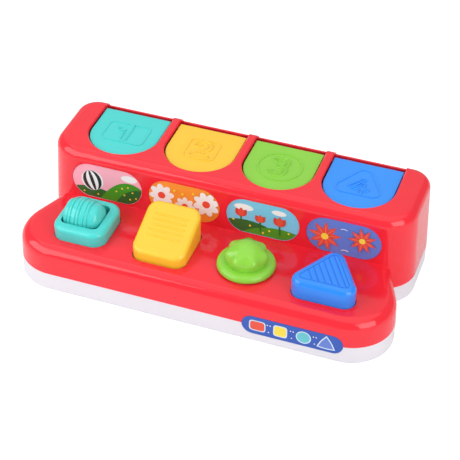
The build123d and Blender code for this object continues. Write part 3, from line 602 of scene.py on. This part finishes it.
knob = add_piece("twist_knob_lobed", grids, [CONTROL_FINISH[3]], "knob")
knob.data.set_sharp_from_angle(angle=SHARP_ANGLE)
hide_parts("twist_knob")
print("knob lobes:", KNOB_LOBES)

# %% [markdown]
# ## Ribs on the key
#
# Five soft ribs across the key's slope keep a finger from slipping. Bump in the material would
# vanish in the meshes, so they are pen lines again. They lie on the slope, which two rays shot
# down onto the key's copy find.

# %% Key ribs
KEY_RIBS = 5
RIB_HALF_SHARE = 0.31
RIB_WIDTH = 2.6
RIB_RISE = 0.7
RIB_FLANK = 1.2
SLOPE_SHARES = (0.3, 0.66)
RAY_ROOM = 10.0

low, high = box_mm("press_key")
key_x = STATION_X[2]
probes = []
for share in SLOPE_SHARES:
    start = Vector((key_x, low[1] + share * (high[1] - low[1]), high[2] + RAY_ROOM)) * MM
    place = key_skin.ray_cast(start, Vector((0, 0, -1)))[1]
    probes.append(np.array(place) / MM)
slope = (probes[1] - probes[0]) / np.linalg.norm(probes[1] - probes[0])
across = np.array([1.0, 0, 0])
rise_way = np.cross(across, slope)
half = RIB_HALF_SHARE * (high[0] - low[0])
places = np.linspace(-0.5, 0.5, KEY_RIBS) * np.linalg.norm(probes[1] - probes[0])
sheet = pen_relief([[(-half, y), (half, y)] for y in places], RIB_WIDTH, RIB_RISE, RIB_FLANK)
middle = (probes[0] + probes[1]) / 2
sheet = middle + sheet[..., :1] * across + sheet[..., 1:2] * slope + sheet[..., 2:] * rise_way
add_piece("press_key_ribs", [(sheet, False, 0)], [CONTROL_FINISH[2]], "key", outward=False)
print("key slope:", np.round(slope, 3), "ribs:", KEY_RIBS)

# %% [markdown]
# ## Animal heads
#
# A head sits behind each lid and swings up with it. It is modelled upright, as it looks when the
# lid is open, and then turned down by a quarter turn about the hinge rod into the closed case.
# Sculpting would do, but an ellipsoid with fuller cheeks, ears and a neck is all its form needs.

# %% Head shapes
HEAD_HALF = np.array([19.0, 14.0, 20.0])
HEAD_REACH = 24.0
HEAD_RISE = 29.0
CHEEK_DROP = 0.35
CHEEK_SPREAD = 0.4
POINT_SPREAD = 11.5
POINT_LEAN = 3.0
POINT_BACK = 3.0
POINT_HALF = (6.4, 3.0)
POINT_FOOT = 11.0
POINT_HEIGHT = 12.5
POINT_BLUNT = 1.6


def swing_down(points, x):
    """Upright points about the head's middle, a quarter turn down: height goes forwards, depth up."""
    back = points[..., 1] - HEAD_REACH
    rise = points[..., 2] + HEAD_RISE
    return np.stack([points[..., 0] + x, hinge_y - rise, hinge_z + back], axis=-1)


def ball(centre, half, rows, columns, cheeks=0.0):
    """Ellipsoid: half sizes times cosines and sines of tilt and turn, with a bell curve as cheeks."""
    tilt = np.linspace(-np.pi / 2, np.pi / 2, rows)[:, None]
    turn = np.linspace(0, 2 * np.pi, columns, endpoint=False)[None, :]
    height = np.sin(tilt) + 0 * turn
    full = 1 + cheeks * np.exp(-((height + CHEEK_DROP) / CHEEK_SPREAD) ** 2)
    unit = np.stack([np.cos(tilt) * np.cos(turn) * full, np.cos(tilt) * np.sin(turn), height], axis=-1)
    return unit * np.asarray(half, float) + np.asarray(centre, float)


def pointed_ear(side, rows=24, columns=32):
    """Flat cone leaning outwards: its width is the root of one less a power of the height."""
    share = np.linspace(0, 1, rows)[:, None]
    turn = np.linspace(0, 2 * np.pi, columns, endpoint=False)[None, :]
    wide = np.sqrt(np.clip(1 - share ** POINT_BLUNT, 0, 1))
    x = side * (POINT_SPREAD + POINT_LEAN * share) + POINT_HALF[0] * wide * np.cos(turn)
    y = POINT_BACK + POINT_HALF[1] * wide * np.sin(turn)
    return np.stack([x, y, POINT_FOOT + POINT_HEIGHT * share + 0 * turn], axis=-1)


print("heads are", 2 * HEAD_HALF[0], "mm wide and", 2 * HEAD_HALF[2], "mm high")

# %% [markdown]
# Heads of such toys are painted soft plastic. Patches of paint could be shells of their own, but
# their edges would show. So the paint is a number on each point, from 0 for the coat to 1 for the
# marking, worked out from the place of the point on the face, and the material mixes by it.

# %% Coats and face paint
COAT_SCALE = 60
COAT_POLISH_SCALE = 120
COAT_TONES = (0.94, 1.05)
MASK_MARK = (6.5, 1.0, 7.0, 4.4)
CHEEK_MARK = (10.5, -6.0, 3.6, 2.8)
CHIN_MARK = (0, -11.0, 11.5, 8.0)
FACE_MARK = (0, -4.0, 13.5, 14.0)
CHEEK_STRENGTH = 0.8
CHEEK_EDGE = 0.5
FACE_EDGE = 0.06
EYE_GLOSS = (0.06, 0.1)
NOSE_GLOSS = (0.2, 0.3)


def coat(name, colour, marking):
    """Painted soft plastic: coat and marking colours mixed by the points' paint value."""
    material, nodes, links, shader, place = new_material(name)
    paint = nodes.new("ShaderNodeAttribute")
    paint.attribute_name = "paint"
    mottle = nodes.new("ShaderNodeMix")
    mottle.data_type = "RGBA"
    mottle.inputs["A"].default_value = rgba(colour, COAT_TONES[0])
    mottle.inputs["B"].default_value = rgba(colour, COAT_TONES[1])
    links.new(noise(nodes, links, place, COAT_SCALE).outputs["Fac"], mottle.inputs["Factor"])
    mix = nodes.new("ShaderNodeMix")
    mix.data_type = "RGBA"
    mix.inputs["B"].default_value = rgba(marking)
    links.new(mottle.outputs["Result"], mix.inputs["A"])
    links.new(paint.outputs["Fac"], mix.inputs["Factor"])
    links.new(mix.outputs["Result"], shader.inputs["Base Color"])
    polish = vary(nodes, links, noise(nodes, links, place, COAT_POLISH_SCALE), *MATT)
    links.new(polish.outputs["Result"], shader.inputs["Roughness"])
    return material


def blob(x, z, across, rise, face_x, face_z, soft=0.18):
    """Paint on an ellipse of the face: 1 inside, and falling evenly to 0 over a soft edge."""
    far = np.hypot((face_x - x) / across, (face_z - z) / rise)
    return np.clip((1 + soft - far) / (2 * soft), 0, 1)


def paint_1(x, y, z):
    """Dark band over both eyes."""
    return blob(*MASK_MARK, np.abs(x), z) * (y < 0)


def paint_2(x, y, z):
    """Pink cheeks."""
    return CHEEK_STRENGTH * blob(*CHEEK_MARK, np.abs(x), z, CHEEK_EDGE) * (y < 0)


def paint_3(x, y, z):
    """Pale muzzle and chin."""
    return blob(*CHIN_MARK, x, z) * (y < 0)


def paint_4(x, y, z):
    """Hood that leaves the face free."""
    return 1 - blob(*FACE_MARK, x, z, FACE_EDGE) * (y < 0)


COATS = {
    1: coat("coat_grey_blue", (140, 168, 220), (44, 52, 96)),
    2: coat("coat_cream", (219, 213, 203), (228, 152, 142)),
    3: coat("coat_orange", (228, 112, 66), (222, 210, 198)),
    4: coat("coat_pink_white", (224, 202, 209), (222, 42, 60)),
}
EYE = plastic("eye_gloss", (16, 15, 20), rough=EYE_GLOSS, skin=0.0)
NOSE = plastic("nose_dark", (58, 38, 44), rough=NOSE_GLOSS)
MUZZLE = plastic("muzzle_pale", (222, 213, 205), rough=MATT)
EAR_INNER = plastic("ear_inner", (243, 172, 168), rough=MATT)
print("coats:", [m.name for m in COATS.values()])

# %% [markdown]
# Eyes, noses, muzzles and inner ears are small beads set into the head. They could be painted too,
# but real ones stand proud and catch the light. The ones on both sides share one place, mirrored.

# %% Put the heads behind the lids
PAINTS = {1: paint_1, 2: paint_2, 3: paint_3, 4: paint_4}
EARS = {1: "round", 2: "round", 3: "pointed", 4: "pointed"}
HEAD_CHEEKS = 0.03
NECK_PLACE = (0, 0, -18.5)
NECK_HALF = (12.5, 10.0, 5.6)
EAR_PLACE = np.array([12.5, 4.0, 15.5])
EAR_HALF = (6.6, 3.6, 6.6)
EYE_X = 7.0
EYE_Z = 1.5
EYE_PROUD = 0.2
EYE_HALF = (1.9, 1.2, 2.2)
MUZZLE_Z = -6.5
MUZZLE_SINK = 1.6
MUZZLE_HALF = (6.4, 3.4, 4.6)
NOSE_Z = -4.6
NOSE_PROUD = 1.4
NOSE_HALF = (2.3, 1.3, 1.5)
INNER_PLACE = {"round": np.array([12.6, 1.3, 15.8]), "pointed": np.array([12.8, 0.9, 15.6])}
INNER_HALF = {"round": (3.8, 1.4, 3.8), "pointed": (3.0, 0.9, 4.2)}
MIRRORED = (np.array([-1, 1, 1]), np.array([1, 1, 1]))


def face_y(x, z):
    """Depth of the head's front surface at a place on the face."""
    return -HEAD_HALF[1] * np.sqrt(max(0.0, 1 - (x / HEAD_HALF[0]) ** 2 - (z / HEAD_HALF[2]) ** 2))


def add_to_head(number, name, upright, material):
    """Piece of a head, modelled upright and put behind its closed lid."""
    grids = [(swing_down(grid, STATION_X[number]), True, 0) for grid in upright]
    return add_piece(f"head_{number}{name}", grids, [material], f"popup_{number}")


for number in STATIONS:
    head = ball((0, 0, 0), HEAD_HALF, 72, 96, cheeks=HEAD_CHEEKS)
    upright = [head, ball(NECK_PLACE, NECK_HALF, 24, 48)]
    if EARS[number] == "round":
        upright += [ball(EAR_PLACE * side, EAR_HALF, 24, 36) for side in MIRRORED]
    else:
        upright += [pointed_ear(side) for side in (-1, 1)]
    piece = add_to_head(number, "", upright, COATS[number])
    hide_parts(f"figure_{number}")
    spots = np.empty(len(piece.data.vertices) * 3)
    piece.data.vertices.foreach_get("co", spots)
    spots = spots.reshape(-1, 3) / MM
    up = hinge_y - spots[:, 1] - HEAD_RISE
    depth = spots[:, 2] - hinge_z + HEAD_REACH
    value = PAINTS[number](spots[:, 0] - STATION_X[number], depth, up)
    paint = piece.data.attributes.new("paint", "FLOAT", "POINT")
    paint.data.foreach_set("value", value.astype(np.float32))
    eye_place = np.array([EYE_X, face_y(EYE_X, EYE_Z) - EYE_PROUD, EYE_Z])
    eyes = [ball(eye_place * side, EYE_HALF, 16, 24) for side in MIRRORED]
    add_to_head(number, "_eyes", eyes, EYE)
    muzzle = ball((0, face_y(0, MUZZLE_Z) + MUZZLE_SINK, MUZZLE_Z), MUZZLE_HALF, 24, 36)
    add_to_head(number, "_muzzle", [muzzle], MUZZLE)
    nose = ball((0, face_y(0, MUZZLE_Z) - NOSE_PROUD, NOSE_Z), NOSE_HALF, 16, 24)
    add_to_head(number, "_nose", [nose], NOSE)
    kind = EARS[number]
    inner = [ball(INNER_PLACE[kind] * side, INNER_HALF[kind], 16, 24) for side in MIRRORED]
    add_to_head(number, "_ear_inner", inner, EAR_INNER)
print("heads behind lids:", len(STATIONS))

# %% [markdown]
# ## Printed stickers
#
# The stickers are thin printed film in the block's recesses, under a satin varnish. An image would
# blur from near, so the motifs are geometry, and each ink is a finish of its own.

# %% Inks
INK_POLISH = (0.32, 0.42)


def ink(name, colour):
    """Printed film: an ink that varies a little, under a satin varnish."""
    return plastic(name, colour, rough=INK_POLISH, skin=0.02, spread=0.04)


INKS = {
    "pink": ink("ink_pink", (248, 172, 190)),
    "leaf": ink("ink_leaf", (70, 152, 36)),
    "deep": ink("ink_deep_green", (38, 104, 44)),
    "black": ink("ink_black", (34, 34, 36)),
    "white": ink("ink_white", (238, 238, 240)),
    "lemon": ink("ink_lemon", (248, 214, 70)),
    "orange": ink("ink_orange", (244, 150, 56)),
    "sky": ink("ink_sky", (120, 198, 232)),
    "red": ink("ink_red", (214, 62, 52)),
    "coral": ink("ink_coral", (228, 78, 56)),
    "blush": ink("ink_blush", (240, 130, 112)),
    "violet": ink("ink_periwinkle", (96, 124, 204)),
    "blue": ink("ink_blue", (40, 84, 178)),
    "aqua": ink("ink_aqua", (96, 190, 200)),
    "pale": ink("ink_pale", (206, 222, 240)),
}
INK_NAMES = list(INKS)
print("inks:", len(INKS))

# %% [markdown]
# Each shape of a motif is a flat grid on the sticker's own plane, one hair's breadth above the
# shape under it. A boolean could cut it at the film's edge. Points that would fall off the film are
# moved to its rim instead, so that hills and petals end as a printer's knife cuts them.

# %% Film
INK_STEP = 0.03
FILM_RIM = 0.5
TINY = 1e-9


def film_plane(node, lean):
    """Middle of a sticker's outer face, with its across, up and outward directions."""
    low, high = box_mm(node)
    up = np.array([0, math.sin(lean), math.cos(lean)])
    out = np.array([0, -math.cos(lean), math.sin(lean)])
    tall = (high[2] - low[2]) / math.cos(lean)
    thick = (high[1] - low[1]) - tall * math.sin(lean)
    return {"middle": (low + high) / 2 + out * thick / 2, "up": up, "out": out,
            "half": np.array([(high[0] - low[0]) / 2, tall / 2])}


def on_film(film, flat, layer):
    """Flat (across, up) points put on the film's plane, those past its rim pulled in to the rim."""
    across, up = flat[..., 0], flat[..., 1]
    radius = film["half"][1]
    straight = film["half"][0] - radius
    spine = np.clip(across, -straight, straight)
    far = np.hypot(across - spine, up)
    pull = np.minimum(1, (radius - FILM_RIM) / np.maximum(far, TINY))
    across, up = spine + (across - spine) * pull, up * pull
    middle = film["middle"] + film["out"] * (INK_STEP * layer)
    return middle + across[..., None] * np.array([1.0, 0, 0]) + up[..., None] * film["up"]


def turn_outward(piece, out):
    """Flips the faces of a flat print that look into the case."""
    form = bmesh.new()
    form.from_mesh(piece.data)
    form.normal_update()
    wrong = [face for face in form.faces if face.normal.dot(Vector(out)) < 0]
    bmesh.ops.reverse_faces(form, faces=wrong)
    form.to_mesh(piece.data)
    form.free()


def print_film(name, node, shapes, lean, body):
    """Prints shapes, each (flat grid, ink), in order on a sticker."""
    film = film_plane(node, lean)
    grids = []
    for layer, (flat, colour) in enumerate(shapes, 1):
        grids.append((on_film(film, flat, layer), False, INK_NAMES.index(colour)))
    piece = add_piece(name, grids, [INKS[n] for n in INK_NAMES], body, outward=False, smooth=False)
    turn_outward(piece, film["out"])
    return piece


print("layers of ink are", INK_STEP, "mm apart")

# %% [markdown]
# A few flat shapes are enough for all the motifs: ellipse, petal, hill and pen line. Each could be
# a filled curve, but as a grid it can be cut off at the film's rim.

# %% Flat shapes
def heading_to(turn):
    """Flat unit vector along an angle in degrees."""
    return np.array([math.cos(math.radians(turn)), math.sin(math.radians(turn))])


def placed(ahead, aside, x, y, turn):
    """Flat points turned by an angle in degrees and moved to a place."""
    cosine, sine = heading_to(turn)
    return np.stack([x + ahead * cosine - aside * sine, y + ahead * sine + aside * cosine], axis=-1)


def disc(x, y, wide, tall, turn=0.0):
    """Flat ellipse: shares of its half sizes times cosine and sine of the angle."""
    share = np.linspace(0, 1, 12)[:, None]
    angle = np.linspace(0, 2 * np.pi, 64)[None, :]
    return placed(share * wide * np.cos(angle), share * tall * np.sin(angle), x, y, turn)


def petal(x, y, length, width, turn, blunt):
    """Flat petal from a point along an angle: its width is the sine of a power of the share."""
    share = np.linspace(0, 1, 40)[:, None]
    side = np.linspace(-1, 1, 9)[None, :]
    half = width / 2 * np.sin(np.pi * share ** blunt)
    return placed(length * share + 0 * side, half * side, x, y, turn)


def hill(start, stop, base, crest, power):
    """Flat hill between two places: it rises from its base by a power of a sine."""
    share = np.linspace(0, 1, 80)[:, None]
    rise = np.linspace(0, 1, 12)[None, :]
    top = base + (crest - base) * np.sin(np.pi * share) ** power
    return np.stack([start + (stop - start) * share + 0 * rise, base + (top - base) * rise], axis=-1)


def band(path, width, count=60):
    """Flat pen line: points up to half a width to each side of a path, square to its heading."""
    line = along(path, count)
    heading = np.gradient(line, axis=0)
    heading /= np.linalg.norm(heading, axis=1, keepdims=True)
    across = np.stack([-heading[:, 1], heading[:, 0]], 1)
    side = np.linspace(-0.5, 0.5, 5)[None, :, None] * width
    return line[:, None, :] + across[:, None, :] * side


def dots(places, radius, colour):
    """Round dots of one size and ink."""
    return [(disc(x, y, radius, radius), colour) for x, y in places]


def clouds(places):
    """White ovals, each (across, up, half width, half height)."""
    return [(disc(*place), "white") for place in places]


HILL_FOOT = -16


def hills(rows):
    """Hills on one foot line, each (start, stop, crest, power, ink)."""
    return [(hill(start, stop, HILL_FOOT, crest, power), colour)
            for start, stop, crest, power, colour in rows]


PETAL_REACH = 0.6
PETAL_LONG = 0.42
PETAL_WIDE = 0.27
HEART_SHARE = 0.3


def flower(x, y, size, petals, turn, colour, heart):
    """Round flower: oval petals about a middle, and its heart."""
    shapes = []
    for k in range(petals):
        way = turn + 360 * k / petals
        place = np.array([x, y]) + PETAL_REACH * size * heading_to(way)
        shapes.append((disc(*place, size * PETAL_LONG, size * PETAL_WIDE, way), colour))
    return shapes + dots([(x, y)], size * HEART_SHARE, heart)


print("hills start at", HILL_FOOT, "mm, below the film's rim")

# %% [markdown]
# The four motifs are plain garden things, drawn for this lesson: a striped ball on a hill, daisies,
# tulips on a bank, and starry blossoms. Places are in millimetres from the film's middle, and the
# shapes are listed in the order of printing.

# %% Striped ball on a hill
BALL_PLACE = (-13, 0.5)
BALL_RADIUS = 9.5
BALL_LEAN = 18
BALL_STRIPES = ((0.84, "black"), (0.5, "white"), (0.16, "black"))
MEADOW = ((-40, 14, -5.5, 0.6, "deep"), (-6, 44, 5.0, 0.8, "leaf"), (8, 50, 0.5, 0.7, "deep"))
MEADOW_CLOUDS = ((19, 9, 7, 3.2),)
MEADOW_SEEDS = ((8, -5), (13, -1), (18, 1), (22, -3), (15, -7), (25, -8), (20, -10), (-20, -11),
                (-8, -11.5))
MEADOW_SEED = 0.8

first_hill, *other_hills = hills(MEADOW)
striped_ball = dots([BALL_PLACE], BALL_RADIUS, "white")
for share, colour in BALL_STRIPES:
    striped_ball.append((disc(*BALL_PLACE, BALL_RADIUS * share, BALL_RADIUS, BALL_LEAN), colour))
sticker_1 = clouds(MEADOW_CLOUDS) + [first_hill] + striped_ball + other_hills
sticker_1 += dots(MEADOW_SEEDS, MEADOW_SEED, "lemon")
print("shapes of the first sticker:", len(sticker_1))

# %% Daisies
DAISIES = ((-19, 1.5, 10.5, 10), (1, -4, 8.5, 0), (19, 2.5, 11, 20))
DAISY_PETALS = 8
DAISY_SEEDS = ((-8, 9), (8, 10), (-7, -10), (10, -10.5), (-1, 7.5))
DAISY_SEED = 1.1

sticker_2 = []
for x, y, size, turn in DAISIES:
    sticker_2 += flower(x, y, size, DAISY_PETALS, turn, "white", "coral")
sticker_2 += dots(DAISY_SEEDS, DAISY_SEED, "lemon")
print("shapes of the second sticker:", len(sticker_2))

# %% Tulips on a bank
BANK = ((-46, 20, -3.5, 0.7, "deep"), (-16, 46, -5.5, 0.7, "leaf"))
BANK_CLOUDS = ((-16, 8, 8, 3), (13, 9.5, 6, 2.4))
BANK_SEEDS = ((-10, -8), (-24, -5), (6, -9), (22, -7.5), (1, -12))
BANK_SEED = 0.9
TULIPS = ((-18, 0.5, 8.5), (-2, -1.5, 7.5), (14, -1.0, 9.0))
TULIP_PETALS = ((58, "red"), (122, "red"), (90, "coral"))
TULIP_SINK = 1.5
TULIP_WIDE = 0.62
TULIP_BLUNT = 0.85
STEM_LEAN = 0.8
STEM_LENGTH = 10
STEM_WIDTH = 1.3

sticker_3 = clouds(BANK_CLOUDS) + hills(BANK)
for x, y, size in TULIPS:
    sticker_3.append((band([(x, y), (x + STEM_LEAN, y - STEM_LENGTH)], STEM_WIDTH), "deep"))
    for turn, colour in TULIP_PETALS:
        sticker_3.append((petal(x, y - TULIP_SINK, size, size * TULIP_WIDE, turn, TULIP_BLUNT), colour))
sticker_3 += dots(BANK_SEEDS, BANK_SEED, "lemon")
print("shapes of the third sticker:", len(sticker_3))

# %% Starry blossoms
STARS = ((-15, -1.5, 13.5, 8), (15, 2.0, 11.5, 22))
STAR_PETALS = 9
STAR_WIDE = 0.34
STAR_BLUNT = 0.75
STAR_HEART = 0.22
VEIN_START = 3
VEIN_SHARE = 0.72
VEIN_WIDTH = 0.5
STROKES = (((0, 4), 5.5), ((2, -16), 6))
STROKE_ENDS = (60, 120)
STROKE_WIDTH = 0.6

sticker_4 = []
for x, y, size, turn in STARS:
    for k in range(STAR_PETALS):
        way = turn + 360 * k / STAR_PETALS
        vein = [np.array([x, y]) + far * heading_to(way) for far in (VEIN_START, VEIN_SHARE * size)]
        sticker_4.append((petal(x, y, size, size * STAR_WIDE, way, STAR_BLUNT), "coral"))
        sticker_4.append((band(vein, VEIN_WIDTH), "blush"))
    sticker_4 += dots([(x, y)], size * STAR_HEART, "lemon")
for centre, radius in STROKES:
    sticker_4.append((band(arc(centre, radius, *STROKE_ENDS), STROKE_WIDTH), "white"))
print("shapes of the fourth sticker:", len(sticker_4))

# %% Print the stickers
FACE_LEAN = math.radians(2.6)
FILM_GROUND = {1: "pink", 2: "orange", 3: "sky", 4: "violet"}
PRINTS = {1: sticker_1, 2: sticker_2, 3: sticker_3, 4: sticker_4}
for number in STATIONS:
    film = f"panel_sticker_{number}"
    dress(film, INKS[FILM_GROUND[number]])
    print_film(f"sticker_{number}_print", film, PRINTS[number], FACE_LEAN, "housing")
print("stickers printed")

# %% [markdown]
# ## Front label
#
# The label over the front seam has a row of four plain filled shapes, like those on the lids, with
# a pale rim and three white dots between neighbours. The rim could be a ring of its own. Two sizes
# of one shape, printed one on the other, need no ring.

# %% Print the front label
LABEL_X = (-27.5, -9.2, 9.2, 27.0)
LABEL_RIM = 0.9
LABEL_INKS = ("coral", "lemon", "aqua", "violet")
OBLONG_HALF = (6.6, 5.2)
SQUARE_HALF = 5.6
CORNER_POWER = 5.0
ROUND_RADIUS = 6.0
WEDGE_SIZE = 9.4
WEDGE_DROP = 1.0
WEDGE_SOFT = 0.22
WEDGE_ROUND = 0.62
DOT_RADIUS = 0.55
DOT_RISE = 3.4
DOT_STEPS = (-1.1, 0.0, 1.1)


def rounded(x, y, half_wide, half_tall):
    """Flat rounded rectangle: a superellipse, whose powers of x and y add up to one."""
    share = np.linspace(0, 1, 10)[:, None]
    angle = np.linspace(0, 2 * np.pi, 96)[None, :]
    cosine, sine = np.cos(angle), np.sin(angle)
    ring = (np.abs(cosine) ** CORNER_POWER + np.abs(sine) ** CORNER_POWER) ** (-1 / CORNER_POWER)
    return np.stack([x + share * half_wide * ring * cosine, y + share * half_tall * ring * sine], axis=-1)


def wedge(x, y, size):
    """Flat triangle with round corners, its point up: a straight one mixed with a circle."""
    share = np.linspace(0, 1, 10)[:, None]
    angle = np.linspace(0, 2 * np.pi, 120)[None, :]
    lean = (angle - np.pi / 2 + np.pi / 3) % (2 * np.pi / 3) - np.pi / 3
    straight = size / 2 / np.cos(np.abs(np.abs(lean) - np.pi / 3))
    ring = straight * (1 - WEDGE_SOFT) + size * WEDGE_ROUND * WEDGE_SOFT
    return np.stack([x + share * ring * np.cos(angle), y + share * ring * np.sin(angle)], axis=-1)


def label_shapes(rim):
    """The label's four shapes, each smaller by a rim all round."""
    return [rounded(LABEL_X[0], 0, OBLONG_HALF[0] - rim, OBLONG_HALF[1] - rim),
            rounded(LABEL_X[1], 0, SQUARE_HALF - rim, SQUARE_HALF - rim),
            disc(LABEL_X[2], 0, ROUND_RADIUS - rim, ROUND_RADIUS - rim),
            wedge(LABEL_X[3], -WEDGE_DROP, WEDGE_SIZE - 2 * rim)]


label = []
for outer, inner, colour in zip(label_shapes(0), label_shapes(LABEL_RIM), LABEL_INKS):
    label += [(outer, "pale"), (inner, colour)]
for left, right in zip(LABEL_X[:-1], LABEL_X[1:]):
    places = [((left + right) / 2 + step, DOT_RISE * (-1) ** k) for k, step in enumerate(DOT_STEPS)]
    label += dots(places, DOT_RADIUS, "white")
dress("shape_label", INKS["blue"])
print_film("shape_label_print", "shape_label", label, 0.0, "housing")
print("label shapes:", len(label))

# %% [markdown]
# ## Floor
#
# The toy stands on pale paper. More light would make the paper white, but bleach the toy too. So
# the floor's material glows a little for the camera alone, and keeps the toy's light shadow.

# %% Floor
PAPER_TONES = ((0.84, 0.84, 0.845, 1), (0.87, 0.87, 0.87, 1))
PAPER_ROUGH = 0.9
PAPER_SCALE = 4
PAPER_GLOW = 0.35


def make_floor(half=3.0, drop=0.05 * MM):
    """Flat square a hair below the tray's underside, so that the two don't share a plane."""
    mesh = bpy.data.meshes.new("floor")
    corners = [(-half, -half, -drop), (half, -half, -drop), (half, half, -drop), (-half, half, -drop)]
    mesh.from_pydata(corners, [], [(0, 1, 2, 3)])
    floor = bpy.data.objects.new("floor", mesh)
    bpy.context.scene.collection.objects.link(floor)
    return floor


def floor_paper(glow):
    """Pale paper that also shines a little for the camera."""
    material, nodes, links, shader, place = new_material("floor_paper")
    shader.inputs["Roughness"].default_value = PAPER_ROUGH
    tone = nodes.new("ShaderNodeMix")
    tone.data_type = "RGBA"
    tone.inputs["A"].default_value = PAPER_TONES[0]
    tone.inputs["B"].default_value = PAPER_TONES[1]
    links.new(noise(nodes, links, place, PAPER_SCALE).outputs["Fac"], tone.inputs["Factor"])
    links.new(tone.outputs["Result"], shader.inputs["Base Color"])
    light = nodes.new("ShaderNodeLightPath")
    strength = nodes.new("ShaderNodeMath")
    strength.operation = "MULTIPLY"
    strength.inputs[1].default_value = glow
    links.new(light.outputs["Is Camera Ray"], strength.inputs[0])
    shader.inputs["Emission Color"].default_value = (1, 1, 1, 1)
    links.new(strength.outputs["Value"], shader.inputs["Emission Strength"])
    return material


floor = make_floor()
floor.data.materials.append(floor_paper(PAPER_GLOW))
print("floor:", floor.name)

# %% [markdown]
# ## Light
#
# A studio lights such a toy softly from all round. A sun would give hard shadows and small sharp
# highlights. Large softboxes on both sides, behind and overhead, and an even sky, leave broad ones
# on the glossy shell.

# %% Light
SKY_STRENGTH = 0.38
AIM = (0, 0, 0.04)
LEFT_AIM = (-0.1, 0, 0.05)
SOFTBOXES = (
    ("softbox_left", (-0.66, -0.46, 0.52), LEFT_AIM, (0.95, 0.65), 5.4),
    ("softbox_right", (1.0, -0.6, 0.6), AIM, (0.85, 0.95), 8),
    ("softbox_back", (-0.3, 0.95, 0.9), AIM, (1.8, 1.2), 2.5),
    ("softbox_top", (0.0, 0.0, 1.6), AIM, (2.4, 1.8), 11),
)


def softbox(name, place, aim, size, power):
    """Rectangular area light that faces a point."""
    lamp = bpy.data.lights.new(name, "AREA")
    lamp.shape = "RECTANGLE"
    lamp.size, lamp.size_y = size
    lamp.energy = power
    holder = bpy.data.objects.new(name, lamp)
    holder.location = place
    holder.rotation_euler = (Vector(aim) - Vector(place)).to_track_quat("-Z", "Y").to_euler()
    bpy.context.scene.collection.objects.link(holder)
    return holder


for lamp in SOFTBOXES:
    softbox(*lamp)
world = bpy.data.worlds.new("even_sky")
world.use_nodes = True
sky = world.node_tree.nodes["Background"]
sky.inputs["Color"].default_value = (1, 1, 1, 1)
sky.inputs["Strength"].default_value = SKY_STRENGTH
bpy.context.scene.world = world
bpy.context.scene.view_settings.view_transform = "Standard"

# %% [markdown]
# ## Camera
#
# The camera repeats the photograph's place: turned to the toy's right and looking down. It could
# track a target, but a slight roll is part of the view, so its three directions are worked out.

# %% Camera
VIEW_AZIMUTH = math.radians(18.604)
VIEW_ELEVATION = math.radians(38.993)
VIEW_ROLL = math.radians(1.202)
VIEW_DISTANCE = 1205.5 * MM
VIEW_AIM = Vector((-0.7, 18.1, 20.7)) * MM
LENS = 115.8
SENSOR = 36

back = Vector((math.sin(VIEW_AZIMUTH) * math.cos(VIEW_ELEVATION),
               -math.cos(VIEW_AZIMUTH) * math.cos(VIEW_ELEVATION), math.sin(VIEW_ELEVATION)))
right = Vector((math.cos(VIEW_AZIMUTH), math.sin(VIEW_AZIMUTH), 0))
turn = Matrix((right, back.cross(right), back)).transposed() @ Matrix.Rotation(VIEW_ROLL, 3, "Z")
camera = bpy.data.objects.new("camera", bpy.data.cameras.new("camera"))
camera.data.sensor_width = SENSOR
camera.data.lens = LENS
camera.matrix_world = Matrix.Translation(VIEW_AIM + back * VIEW_DISTANCE) @ turn.to_4x4()
bpy.context.scene.collection.objects.link(camera)
bpy.context.scene.camera = camera
print("camera at", [round(v, 3) for v in camera.location])
